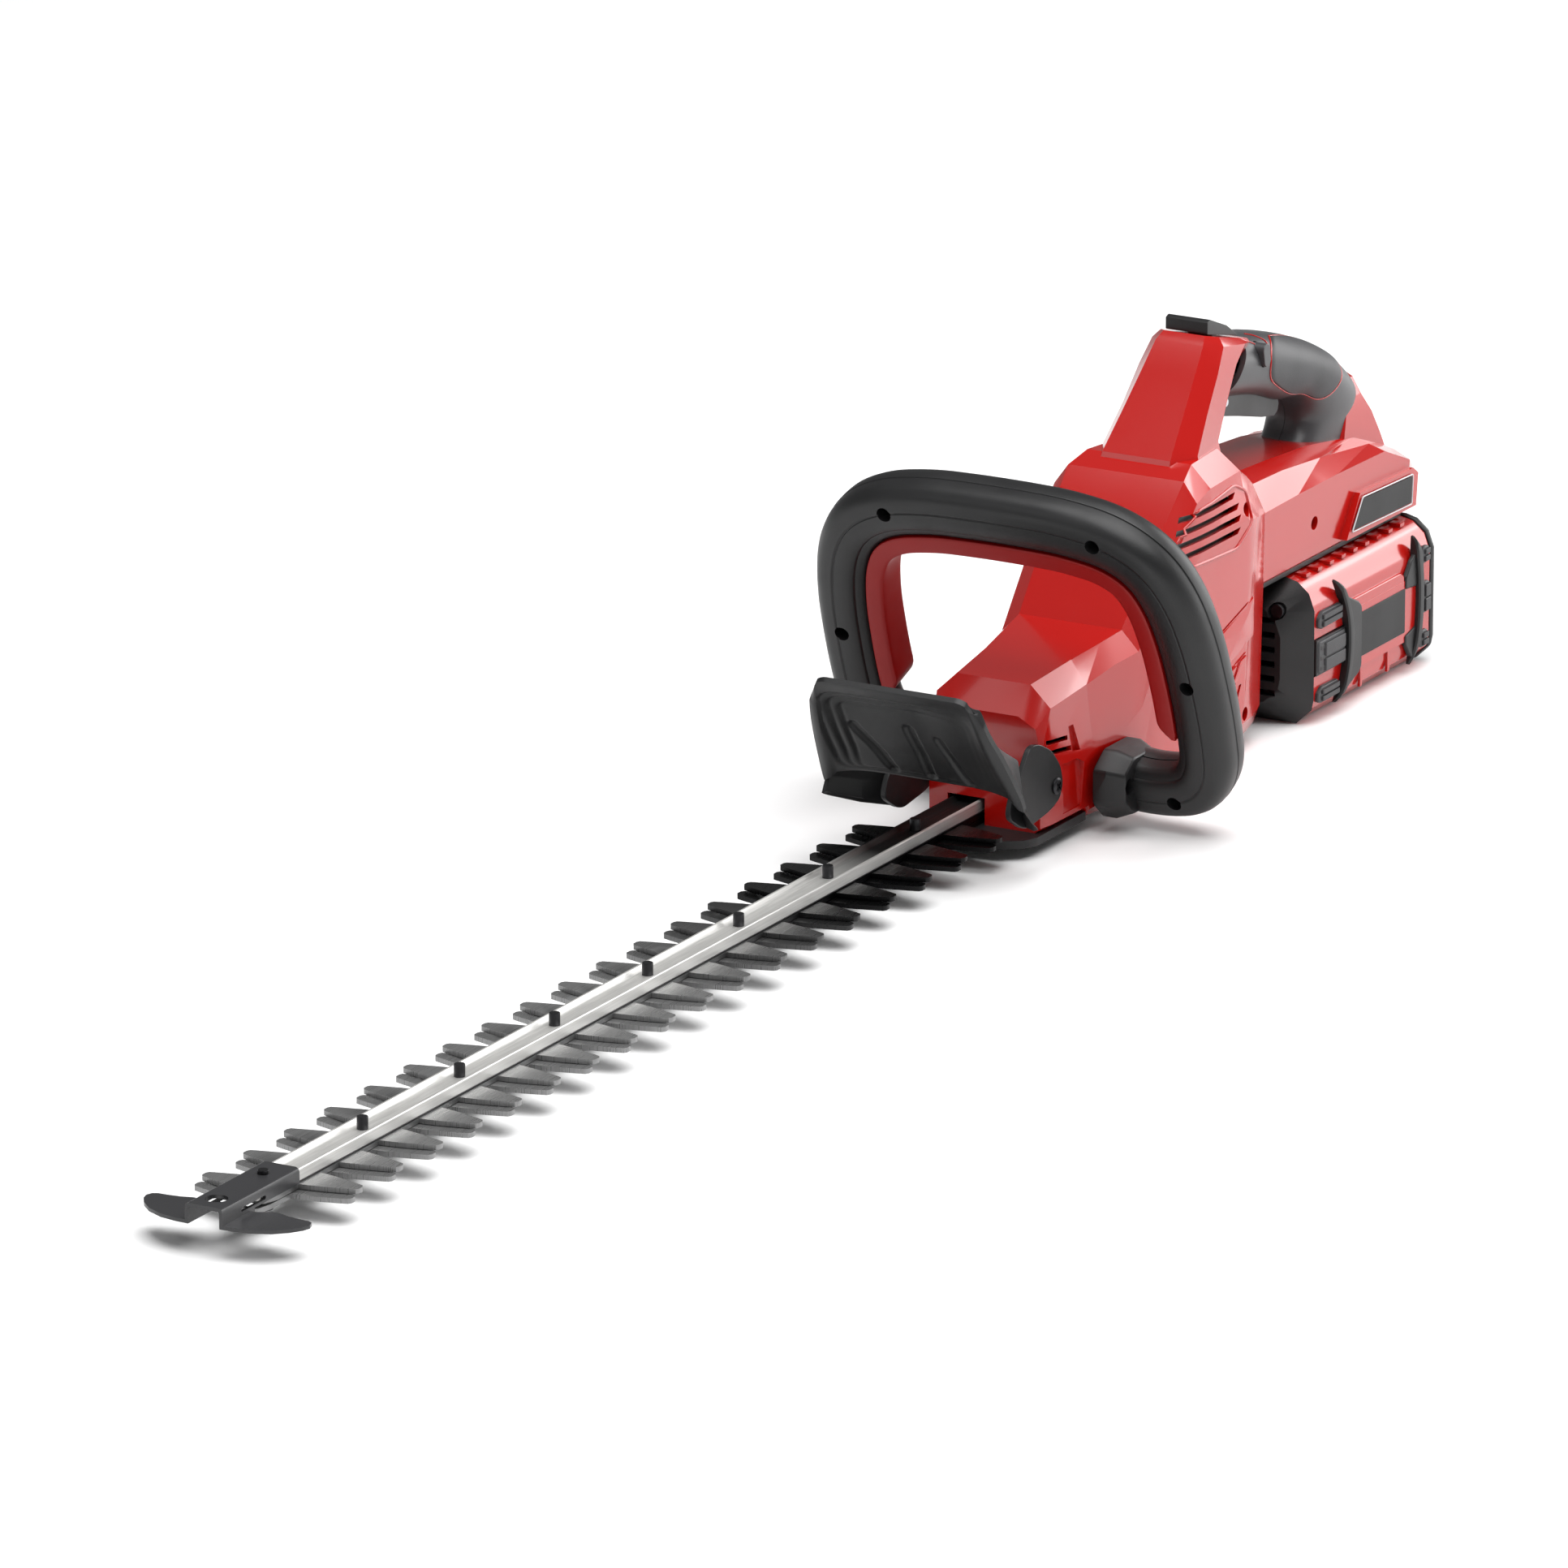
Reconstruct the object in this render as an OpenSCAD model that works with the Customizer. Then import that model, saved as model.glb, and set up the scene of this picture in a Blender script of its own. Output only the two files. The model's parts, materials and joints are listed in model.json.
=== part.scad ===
// Cordless hedge trimmer with a dual-action blade, a bail front handle and a slide-on battery.
// Frame: +Y points to the rear, -Y to the blade tip, +X to the tool's left side, +Z up.
// Origin: on the flat underside of the gearbox base plate, on the body's centre plane.

/* [Blades] */
// Distance between neighbouring teeth on one side of a blade
tooth_pitch = 33; // [31:0.5:34]
// Teeth on each side of each blade
teeth_per_side = 18; // [12:1:18]
// Thickness of each blade
blade_t = 2.2; // [1.8:0.1:2.3]
// Reach of the tooth tips from the blade's centre line
tooth_reach = 33.5; // [28:0.5:36]
// Half the stroke of each blade, which is the throw of the crank
crank_throw = 7; // [5:0.5:7]
// Sideways offset of the blade from the body's centre plane
blade_x = -10; // [-11:0.5:-9]
// Distance between neighbouring blade bolts
bolt_pitch = 80.71; // [80:0.01:81]
// Diameter of the hanging hole in the tip guard
hang_hole_d = 9.8; // [6:0.1:11]

/* [Body] */
// Wall thickness of the housing shells
wall = 2.6; // [2:0.1:3.2]
// Number of louvre slots in each shoulder vent
louvres = 4; // [3:1:5]
// Diameter of the housing screws
screw_d = 3.4; // [3:0.1:4]

/* [Front handle] */
// Forward lean of the front handle
handle_tilt = 20.2; // [18:0.1:22]
// Radial width of the handle tube
tube_w = 27; // [24:0.5:28]
// Depth of the handle tube, front to back
tube_d = 26; // [24:0.5:28]

/* [Battery] */
// Width of the battery pack
batt_w = 90; // [88:1:92]
// Diameter of one battery cell
cell_d = 18.3; // [18:0.1:18.6]

/* [Hidden] */
$fn = 48;

RED = [0.70, 0.09, 0.07];
DARK = [0.20, 0.20, 0.21];
GRIP = [0.42, 0.42, 0.43];
STEEL = [0.62, 0.62, 0.64];
BLACK = [0.08, 0.08, 0.09];

// ---------- helpers ----------
module prism_x(p, x0, x1) translate([x0, 0, 0]) rotate([90, 0, 90]) linear_extrude(x1 - x0) polygon(p);
module prism_y(p, y0, y1) translate([0, y1, 0]) rotate([90, 0, 0]) linear_extrude(y1 - y0) polygon(p);
module box(a, b) translate(a) cube(b - a);
module cyl_x(x0, x1, y, z, r) translate([x0, y, z]) rotate([0, 90, 0]) cylinder(h = x1 - x0, r = r);
module cyl_z(x, y, z0, z1, r) translate([x, y, z0]) cylinder(h = z1 - z0, r = r);
module both() { children(); mirror([1, 0, 0]) children(); }

function centre(r) = [for (k = [0:2]) let (s = [for (p = r) p[k]]) (s * [for (p = r) 1]) / len(r)];
function svol(pts, F) = [for (f = F) pts[f[0]] * cross(pts[f[1]], pts[f[2]])] * [for (f = F) 1];
function turned(F) = [for (f = F) [f[0], f[2], f[1]]];
// faces are turned round when they would leave the solid inside out
module skin(pts, F) polyhedron(pts, svol(pts, F) > 0 ? turned(F) : F, convexity = 10);
// a solid skinned over rings of points, with a fan cap on the first and the last
module loft(S) {
  n = len(S[0]); m = len(S);
  pts = concat([for (r = S) for (p = r) p], [centre(S[0]), centre(S[m - 1])]);
  side = [for (i = [0:m - 2]) for (j = [0:n - 1])
    let (a = i * n + j, b = i * n + (j + 1) % n, c = (i + 1) * n + (j + 1) % n, d = (i + 1) * n + j)
    each [[a, b, c], [a, c, d]]];
  cap0 = [for (j = [0:n - 1]) [m * n, (j + 1) % n, j]];
  cap1 = [for (j = [0:n - 1]) [m * n + 1, (m - 1) * n + j, (m - 1) * n + (j + 1) % n]];
  skin(pts, concat(side, cap0, cap1));
}
// a channel-shaped shell: each ring is an outer list and an inner list of equal length
module channel(O, I) {
  k = len(O[0]); n = 2 * k; m = len(O);
  pts = [for (i = [0:m - 1]) each concat(O[i], [for (j = [k - 1:-1:0]) I[i][j]])];
  side = [for (i = [0:m - 2]) for (j = [0:n - 1])
    let (a = i * n + j, b = i * n + (j + 1) % n, c = (i + 1) * n + (j + 1) % n, d = (i + 1) * n + j)
    each [[a, b, c], [a, c, d]]];
  cap0 = [for (j = [0:k - 2]) let (a = j, b = j + 1, c = n - 2 - j, d = n - 1 - j) each [[c, b, a], [d, c, a]]];
  e = (m - 1) * n;
  cap1 = [for (j = [0:k - 2]) let (a = e + j, b = e + j + 1, c = e + n - 2 - j, d = e + n - 1 - j) each [[a, b, c], [a, c, d]]];
  skin(pts, concat(side, cap0, cap1));
}
function chaikin(p) = concat([p[0]],
  [for (i = [0:len(p) - 2]) each [0.75 * p[i] + 0.25 * p[i + 1], 0.25 * p[i] + 0.75 * p[i + 1]]], [p[len(p) - 1]]);
// a coil spring standing on z = 0
module coil(r, w, h, turns) {
  steps = 12; sides = 6; n = turns * steps;
  loft([for (i = [0:n]) let (a = 360 * i / steps, z = w + (h - 2 * w) * i / n)
    [for (j = [0:sides - 1]) let (q = 360 * j / sides) [(r + w * cos(q)) * cos(a), (r + w * cos(q)) * sin(a), z + w * sin(q)]]]);
}

// ---------- body skin ----------
// station: [y, [half-section points from the bottom up]]
BODY = [
  [-8,  [[26, 4], [28.6, 6.5], [28.8, 40], [26, 53], [17, 58]]],
  [0,   [[27, 4], [30, 6.5], [30.3, 38], [29.3, 61.4], [19, 71.2]]],
  [33,  [[28, 4], [31.5, 7], [33.5, 34], [29.6, 64], [21.5, 74.5]]],
  [34,  [[28, 0.8], [31.6, 5], [33.6, 34], [29.8, 64], [21.8, 74.6]]],
  [56,  [[30, 0.8], [34.5, 7], [36, 36], [32.5, 68], [24.5, 77]]],
  [73,  [[31, 0.8], [36, 8], [37.5, 44], [35.4, 70], [26.6, 79.1]]],
  [88,  [[32, 0.8], [37.5, 9], [39, 68], [36.4, 86], [27.4, 96]]],
  [107, [[33, 0.8], [38, 10], [39.6, 92], [37, 108], [29, 118]]],
  [126, [[33, 0.8], [38, 10], [40, 104], [37, 127], [30, 136.5]]],
  [139, [[33, 0.8], [38, 10], [40, 107], [37, 131], [27, 141]]],
  [172, [[33, 0.8], [38, 10], [40, 108], [35, 131], [23, 140]]],
  [184, [[32, 1], [36.5, 10], [38, 106], [32, 125], [21, 131]]],
  [198.5, [[29, 2], [32.5, 11], [34.5, 104], [28, 117], [18, 121]]],
  [199, [[31, 68], [33, 70], [34.5, 104], [28, 117], [18, 121]]],
  [232, [[31, 68], [33, 70], [34.5, 104.5], [26, 115], [17, 118.5]]],
  [272, [[31, 68], [33, 70], [34.5, 104.5], [25, 111], [17, 115.5]]],
  [320, [[31, 68], [33, 70], [34.5, 103.5], [26, 106], [17, 108]]],
  [346, [[31, 68], [33, 70], [34.5, 93], [26, 97], [17, 99]]],
  [357, [[28, 69], [30, 71], [30, 87], [22, 91], [15, 92.5]]]];
function half_ring(y, P) = concat([[0, y, P[0][1]]], [for (p = P) [p[0], y, p[1]]], [[0, y, P[len(P) - 1][1]]]);
function full_ring(y, P) = concat([for (p = P) [p[0], y, p[1]]], [for (i = [len(P) - 1:-1:0]) [-P[i][0], y, P[i][1]]]);
function inset(P, t) = [[P[0][0] - t, P[0][1] + t], [P[1][0] - t, P[1][1] + 0.6 * t], [P[2][0] - t, P[2][1] - 0.4 * t],
  [P[3][0] - t, P[3][1] - 0.7 * t], [P[4][0] - 0.7 * t, P[4][1] - t]];
nb = len(BODY);
module body_half() loft([for (s = BODY) half_ring(s[0], s[1])]);
module body_cavity() loft([for (i = [0:nb - 1]) let (s = BODY[i],
  y = i == 0 ? s[0] + wall : i == nb - 1 ? s[0] - wall : (s[0] >= 198 && s[0] < 200) ? s[0] - wall * (s[0] < 198.8 ? 1.15 : 1) : s[0])
  full_ring(y, inset(s[1], wall))]);

// ---------- tower and rear column ----------
// plan ring: front half width, side half width, and the y of front, shoulder, side end, rear corner, rear
function tower_ring(t, g) = let (
  yf = t[1] + g, ys = t[3] + 0.6 * g, yr = t[5] - 0.8 * g, yc = t[7] - g, ye = t[8] - g)
  [[0, yf, tz(t, yf, g)], [t[2] - g, yf, tz(t, yf, g)], [t[4] - g, ys, tz(t, ys, g)], [t[6] - g, yr, tz(t, yr, g)],
   [15 - g, yc, tz(t, yc, g)], [0, ye, tz(t, ye, g)]];
function tz(t, y, g) = t[0] - t[9] * (y - t[1]) - (t[10] == 1 ? g : 0);
//        z    yf     xf    ys   xs    yr   xr    yc   ye   slope top
TOWER = [[128, 130, 19,   148, 29,   178, 24,  187, 189, 0, 0],
         [142, 136, 17.6, 150, 24.5, 177, 21,  188, 190, 0, 0],
         [158, 151.5, 15.6, 164, 22, 186, 20.5, 197, 199, 0, 0],
         [174, 166.5, 13.7, 177, 20.5, 197, 19.5, 208, 210, 0.02, 0],
         [186, 177.5, 12.3, 186, 18.6, 209, 17.8, 219, 221, 0.18, 0],
         [189.6, 182, 10.6, 188, 15.2, 208, 14.8, 216, 218, 0.25, 1]];
module tower_half(g = 0) loft([for (i = [5:-1:0]) let (r = tower_ring(TOWER[i], g)) g > 0 ? r : r]);
function mirror_ring(r) = concat(r, [for (i = [len(r) - 2:-1:1]) [-r[i][0], r[i][1], r[i][2]]]);
module tower_cavity() loft([for (i = [5:-1:0]) mirror_ring(tower_ring(TOWER[i], wall))]);

//        z    y0   y1   half width
COLUMN = [[88, 300, 362, 20], [98, 302, 359, 18.5], [104, 304, 356, 18], [116, 308, 349, 17], [126, 312, 341, 15.5], [135, 318, 334, 12.5]];
function column_ring(c, g) = let (a = c[1] + g, b = c[2] - g, h = c[3] - g, k = min(9, (b - a) / 3))
  [[0, a, c[0]], [h * 0.7, a, c[0]], [h, a + k * 0.6, c[0]], [h, b - k, c[0]], [h * 0.5, b, c[0]], [0, b, c[0]]];
module column_half(g = 0) loft([for (i = [5:-1:0]) column_ring(COLUMN[i], g)]);
module column_cavity() loft([for (i = [4:-1:0]) mirror_ring(column_ring(COLUMN[i], wall))]);

// ---------- rear grip ----------
// ring: top point, bottom point, half width
GRIP_RINGS = [
  [[220, 180.3], [197, 155], 17], [[244, 176], [232, 148.2], 17.6], [[272, 168], [257, 139.6], 18],
  [[295, 158.5], [273, 137], 18], [[316, 147], [281, 131.6], 17.8], [[338, 128.5], [284, 124.6], 17.2],
  [[333, 117], [282, 118.6], 16.6], [[328, 105], [277, 113.6], 16]];
function grip_pts(g, t) = let (top = g[0], bot = g[1], v = top - bot, l = norm(v), u = v / l, h = l / 2 - t, c = (top + bot) / 2, w = g[2] - t)
  [for (i = [0:10]) let (a = -90 + 18 * i, x = w * pow(abs(cos(a)), 0.72), s = h * sign(sin(a)) * pow(abs(sin(a)), 0.86))
   [(i == 0 || i == 10) ? 0 : x, c[0] + u[0] * s, c[1] + u[1] * s]];
module grip_half(t = 0) loft([for (i = [7:-1:0]) grip_pts(GRIP_RINGS[i], t)]);
module grip_cavity() loft([for (i = [7:-1:0]) mirror_ring(grip_pts([
  GRIP_RINGS[i][0] + (i == 0 ? [-3, 1] : i == 7 ? [-2, -3] : [0, 0]), GRIP_RINGS[i][1] + (i == 0 ? [-3, 1] : i == 7 ? [-2, -3] : [0, 0]), GRIP_RINGS[i][2]], 3))]);
module grip_full(t = 0) loft([for (i = [7:-1:0]) mirror_ring(grip_pts(GRIP_RINGS[i], t))]);

BOSSES = [[76, 20, 37], [112, 14, 37.5], [174, 14, 36.5], [112, 98, 38.5], [172, 113, 38], [250, 86, 33.5], [332, 84, 33.5]];
module boss_solids() for (b = BOSSES) cyl_x(0, b[2] - 1.2, b[0], b[1], 4.4);
module boss_bores(left) for (b = BOSSES) {
  if (left) { cyl_x(-1, b[2] + 3, b[0], b[1], screw_d / 2 + 0.02); cyl_x(b[2] - 7, b[2] + 5, b[0], b[1], 3.3); }
  else cyl_x(-1, 9, b[0], b[1], screw_d / 2 + 0.02);
}
// shoulder vent: recess and louvre slots on the sloping shoulder
module vent_cut() {
  translate([40.6, 118, 115.5]) rotate([0, -9.5, 0]) {
    prism_x([[-22, -16], [44, -17], [56, -9], [56, 5], [44, 14], [-4, 9]], -1.2, 6);
    for (i = [0:louvres - 1]) let (z = -11 + i * 22 / louvres)
      prism_x([[-16 + 4 * i, z], [46 - abs(i - 1.5) * 2, z], [49 - abs(i - 1.5) * 2, z + 2.6], [-14 + 4 * i, z + 2.6]], -8, 2);
    // pocket that holds the screen
    prism_x([[-16.6, -13.7], [44.3, -14.6], [50.8, -7.1], [48.7, 6.5], [42.3, 10.7], [-2.4, 7.6]], -9, -7.4);
  }
}
module nose_vent_cut() translate([30.6, -4, 45]) rotate([0, -4, 0]) {
  prism_x([[0, 0], [20, -2], [20, 0.2], [0, 2.2]], -6, 2);
  prism_x([[0, -5], [20, -7], [20, -4.8], [0, -2.8]], -6, 2);
  prism_x([[20.5, -8], [27, -8.6], [23.5, 4], [19, 4]], -1.2, 3);
}
module side_grooves() {
  prism_x([[128, 54], [182, 70], [182, 71.2], [128, 55.2]], 38.6, 45);
  prism_x([[140, 34], [182, 47], [182, 48.2], [140, 35.2]], 38.4, 45);
  prism_x([[140, 34], [141.2, 34], [141.2, 58], [140, 58]], 38.6, 45);
  for (i = [0, 1]) prism_x([[152 + 9 * i, 20], [154.5 + 9 * i, 20], [160 + 9 * i, 30], [157.5 + 9 * i, 30]], 37.6, 45);
}
module housing_outer() {
  difference() {
    union() {
      body_half();
      tower_half();
      column_half();
      // badge block on the deck side
      prism_x([[277, 71], [290, 91], [345, 89.5], [350, 86], [348, 70.5]], 30, 37);
      // strap lug on the back of the column
      prism_x([[350, 92], [360.5, 95], [362.5, 101], [358, 106], [346, 107]], 0, 5);
    }
    grip_full();
    vent_cut();
    nose_vent_cut();
    side_grooves();
    // waist recess below the nose vent
    prism_x([[10, 9], [26, 9], [26, 30], [20, 33], [8, 33]], 30.4, 40);
  }
}
module housing_half(left) {
  difference() {
    union() {
      difference() {
        housing_outer();
        body_cavity();
        tower_cavity();
        column_cavity();
        // open passage between the body, the tower and the column
        prism_x([[142, 126], [182, 118], [182, 142], [150, 146]], -1, 17);
        prism_x([[312, 98], [340, 94], [352, 92], [340, 108], [316, 112]], -1, 11);
      }
      boss_solids();
    }
    boss_bores(left);
    // open underside over the blade drive, closed by the base plate
    box([-1, -5, -2], [26.8, 33.4, 9]);
    box([-1, 33, -2], [27.4, 66.3, 6]);
    // opening for the bar and the blades
    mirror([left ? 0 : 0, 0, 0]) if (!left) box([-1, -12, 3], [19.2, 1, 16.6]);
    // slot for the battery rails in the underside of the deck
    box([-1, 201, 60], [24, 360, 73]);
    // slot for the trigger and the lock-off stem
    box([-1, 190, 141], [8.5, 206, 160]);
    prism_x([[189.4, 170], [207, 170], [207, 195], [189.4, 195]], -1, 4.4);
    // holes for the shield's and the front handle's screws
    cyl_x(20, 45, -2, 26, 1.95);
    cyl_x(20, 45, 38, 18, 2);
    // cross button passage
    translate([0, 0, 0]) cross_shape(3.6, -1, 24);
    // cable way through the rear wall to the terminals
    box([-1, 190, 20], [12, 201, 50]);
  }
}
module housing_left() color(RED) housing_half(true);
module housing_right() color(RED) mirror([1, 0, 0]) housing_half(false);

module base_plate() color(BLACK) difference() {
  union() {
    linear_extrude(4) polygon([[-5, -28], [5, -28], [17, -27], [27, -20], [30, -13], [30, 33], [27, 33], [27, 66],
      [-27, 66], [-27, 33], [-30, 33], [-30, -13], [-27, -20], [-17, -27]]);
  }
  cyl_z(blade_x, crank_y, -1, 5, 6);
  for (p = PLATE_SCREWS) { cyl_z(p[0], p[1], -1, 5, 1.7); cyl_z(p[0], p[1], -1, 1.6, 3.2); }
}
PLATE_SCREWS = [[22, -2], [23, 60], [-23, 60], [24, 26]];

// ---------- gearbox ----------
crank_y = 27;
gear_m = 0.9; gear_z = 33; pin_z = 11;
gear_c = gear_m * (gear_z + pin_z) / 2;
motor_y = crank_y + sqrt(gear_c * gear_c - blade_x * blade_x);
mesh_a = atan2(motor_y - crank_y, -blade_x);
rest_s = 3.075;                       // each blade's offset from mid stroke at rest
rest_a = asin(rest_s / crank_throw);  // crank angle at rest
ecc_r = 6;
POSTS = [[-21, 7], [19, 7], [-21, 62], [19, 62]];
module gear_case() color(STEEL) difference() {
  union() {
    box([-25.5, 3, 10], [23.5, 66, 15]);
    for (p = POSTS) cyl_z(p[0], p[1], 14, 26, 3.2);
  }
  cyl_z(blade_x, crank_y, 9, 16, 8);
  for (p = POSTS) cyl_z(p[0], p[1], 9, 27, 1.5);
}
module gear_cover() color(STEEL) difference() {
  box([-25, 3.5, 26], [23.5, 66, 30]);
  cyl_z(blade_x, crank_y, 25, 31, 8);
  cyl_z(0, motor_y, 25, 31, 8);
  for (p = POSTS) cyl_z(p[0], p[1], 25, 31, 1.5);
}
module tooth_poly(r, m, rev) polygon([[r - 1.25 * m, -1.02 * m], [r, -0.70 * m], [r + 0.85 * m, -0.30 * m],
  [r + 0.85 * m, 0.30 * m], [r, 0.70 * m], [r - 1.25 * m, 1.02 * m]]);
module gear_2d(z, m, a0) {
  circle(r = m * z / 2 - 1.2 * m, $fn = 96);
  for (i = [0:z - 1]) rotate(a0 + 360 * i / z) tooth_poly(m * z / 2, m);
}
module crank_gear() color(STEEL) translate([blade_x, crank_y, 17]) difference() {
  linear_extrude(7) gear_2d(gear_z, gear_m, mesh_a + 180 / gear_z);
  translate([0, 0, -1]) cylinder(h = 9, r = 4.02);
  for (i = [0:3]) rotate(45 + 90 * i) translate([8.6, 0, -1]) cylinder(h = 9, r = 2.2);
}
module motor_pinion() color(STEEL) translate([0, motor_y, 17.5]) difference() {
  linear_extrude(6) gear_2d(pin_z, gear_m, mesh_a + 180);
  translate([0, 0, -1]) cylinder(h = 8, r = 2.02);
}
module crank_shaft() color(STEEL) translate([blade_x, crank_y, 0]) {
  cylinder(h = 4.2, r = 3.5);
  translate([0, 0, 4.2]) cylinder(h = 25.8, r = 4);
  translate([-crank_throw * cos(rest_a), -rest_s, 4.45]) cylinder(h = blade_t - 0.1, r = ecc_r);
  translate([crank_throw * cos(rest_a), rest_s, 6.95]) cylinder(h = blade_t - 0.1, r = ecc_r);
}
module ring(x, y, z0, z1, ro, ri) translate([x, y, z0]) difference() {
  cylinder(h = z1 - z0, r = ro);
  translate([0, 0, -1]) cylinder(h = z1 - z0 + 2, r = ri);
}
module crank_bearings() color(STEEL) {
  ring(blade_x, crank_y, 0, 4, 6, 3.56);
  ring(blade_x, crank_y, 10, 15, 8, 4.06);
  ring(blade_x, crank_y, 26, 30, 8, 4.06);
}
// ---------- motor ----------
module motor_stator() color([0.45, 0.3, 0.2]) translate([0, motor_y, 31.5]) difference() {
  union() {
    difference() { cylinder(h = 20, r = 21); translate([0, 0, -1]) cylinder(h = 22, r = 18.5); }
    for (i = [0:5]) rotate(60 * i) {
      translate([13.2, -2.4, 0]) cube([5.8, 4.8, 20]);
      translate([15, -4.2, 2.5]) cube([3, 8.4, 15]);
    }
  }
  translate([0, 0, -1]) cylinder(h = 22, r = 13.4);
}
module motor_end_bell() color(STEEL) translate([0, motor_y, 51.5]) difference() {
  union() { cylinder(h = 3, r = 21); cylinder(h = 5, r = 10); }
  translate([0, 0, -1]) cylinder(h = 8, r = 8);
  for (i = [0:5]) rotate(30 + 60 * i) translate([14.6, 0, -1]) cylinder(h = 6, r = 3.2);
}
module motor_rotor() color(BLACK) ring(0, motor_y, 33, 50, 13, 2.02);
module motor_shaft() color(STEEL) translate([0, motor_y, 16.5]) cylinder(h = 46.5, r = 2);
module motor_fan() color(DARK) translate([0, motor_y, 57.6]) difference() {
  union() {
    cylinder(h = 1.2, r = 17);
    cylinder(h = 5, r = 4.5);
    for (i = [0:10]) rotate(360 * i / 11) translate([7, -0.5, 1]) rotate(18) cube([9.6, 1, 4]);
  }
  translate([0, 0, -1]) cylinder(h = 8, r = 2.02);
}
module motor_bearings() color(STEEL) { ring(0, motor_y, 26, 30, 8, 2.06); ring(0, motor_y, 52, 56.5, 8, 2.06); }

// ---------- blades ----------
first_tooth = -602.75;
lower_z = 4.4; upper_z = 6.9;
module tooth() polygon([[7, -8.8], [12, -8.2], [20, -6.6], [28, -4.4], [tooth_reach - 2.6, -3.5],
  [tooth_reach - 0.9, -2.9], [tooth_reach, -1.4], [tooth_reach, 1.4], [tooth_reach - 0.9, 2.9], [tooth_reach - 2.6, 3.5],
  [28, 4.4], [20, 6.6], [12, 8.2], [7, 8.8]]);
module slot_2d(y0, y1, r) hull() { translate([0, y0]) circle(r = r, $fn = 32); translate([0, y1]) circle(r = r, $fn = 32); }
bolt_y = [for (i = [0:7]) -620.12 + bolt_pitch * i];
// fore: forward travel from rest, back: rearward travel from rest
module blade(z, dy, y_end, fore, back) translate([blade_x, 0, z]) linear_extrude(blade_t) difference() {
  union() {
    polygon([[-8, y_end + 9], [-6.3, y_end + 1.5], [-4.8, y_end], [4.8, y_end], [6.3, y_end + 1.5], [8, y_end + 9],
      [8, crank_y + sign(dy) * rest_s - 22], [-8, crank_y + sign(dy) * rest_s - 22]]);
    for (i = [0:teeth_per_side - 1]) {
      translate([0, first_tooth + dy2(dy) + i * tooth_pitch]) tooth();
      translate([0, first_tooth + dy2(dy) - tooth_pitch / 2 + i * tooth_pitch]) mirror([1, 0, 0]) tooth();
    }
    yoke_2d(crank_y + sign(dy) * rest_s);
  }
  for (y = bolt_y) { translate([-3.9, y - back - 0.0]) square([7.8, fore + back]);
    translate([0, y - back]) circle(r = 3.9); translate([0, y + fore]) circle(r = 3.9); }
}
function dy2(dy) = dy > 0 ? 2 * rest_s : 0;
sweep_r = crank_throw + ecc_r;
module yoke_2d(yc) translate([0, yc]) difference() {
  polygon([[-16, -18], [-13, -23.6], [13, -23.6], [16, -18], [16, 18], [13, 23.6], [-13, 23.6], [-16, 18]]);
  polygon([[-13.3, -15], [-8, -20.4], [8, -20.4], [13.3, -15], [13.3, 15], [8, 20.4], [-8, 20.4], [-13.3, 15]]);
}
travel_f = crank_throw + rest_s; travel_b = crank_throw - rest_s;
module upper_blade() color(STEEL) blade(upper_z, 1, -630.5, travel_f, travel_b);
module lower_blade() color(STEEL) blade(lower_z, -1, -636.5, travel_b, travel_f);

module blade_bar() color([0.9, 0.9, 0.9]) difference() {
  translate([blade_x, 0, 0]) prism_y([[-7.5, 9.9], [7.5, 9.9], [7.5, 14.7], [7.1, 15.1], [6.2, 15.1], [5.8, 14.6], [4.6, 13.2], [3.6, 12.9],
    [-3.6, 12.9], [-4.6, 13.2], [-5.8, 14.6], [-6.2, 15.1], [-7.1, 15.1], [-7.5, 14.7]], -635, 2.6);
  for (y = bolt_y) cyl_z(blade_x, y, 8, 16, 2.55);
}
module guide_strip() color(BLACK) difference() {
  box([blade_x - 7.8, -633, 9.4], [blade_x + 7.8, 2, 9.9]);
  for (y = bolt_y) cyl_z(blade_x, y, 8, 16, 2.55);
}
module blade_bolts() color(BLACK) for (y = bolt_y) {
  cyl_z(blade_x, y, 1.2, 18.7, 2.5);
  cyl_z(blade_x, y, 1.2, 3.9, 4.3);
}
module bolt_bushes() color(STEEL) for (y = bolt_y) ring(blade_x, y, 3.9, 9.4, 3.55, 2.52);
module tip_guard() color([0.3, 0.3, 0.3]) translate([blade_x, 0, 0]) difference() {
  union() {
    // bent top with rounded shoulders
    prism_y([[-9.2, 9.7], [-7.6, 9.7], [-7.6, 14.6], [-7.1, 15.15], [7.1, 15.15], [7.6, 14.6], [7.6, 9.7], [9.2, 9.7], [9.2, 14.8],
      [8.7, 16.2], [7.4, 16.8], [-7.4, 16.8], [-8.7, 16.2], [-9.2, 14.8]], -668, -606);
    for (s = [-1, 1]) {
      translate([s > 0 ? 7.6 : -9.2, -668, 7.6]) cube([1.6, 26, 2.2]);
      translate([0, 0, 7.6]) linear_extrude(1.6) polygon([for (p = [[7.6, -668], [14, -667.8], [22, -666.4], [30, -662.6], [35.5, -657.6], [39, -652.4],
        [40, -648.6], [39, -645.6], [36.5, -644.4], [32, -644.2], [26, -643.4], [21, -641.8], [17.6, -642], [14.5, -643.8], [12, -645.2], [9.2, -645.4], [7.6, -645.4]]) [s * p[0], p[1]]]);
    }
  }
  cyl_z(0, -657.4, 10, 20, hang_hole_d / 2);
  cyl_z(0, bolt_y[0], 10, 20, 2.6);
  cyl_x(-12, 12, -652, 11.8, 0.9);
  cyl_x(-12, 12, -634, 11.8, 0.9);
  box([-12, -652, 10.9], [12, -634, 12.7]);
}

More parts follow.
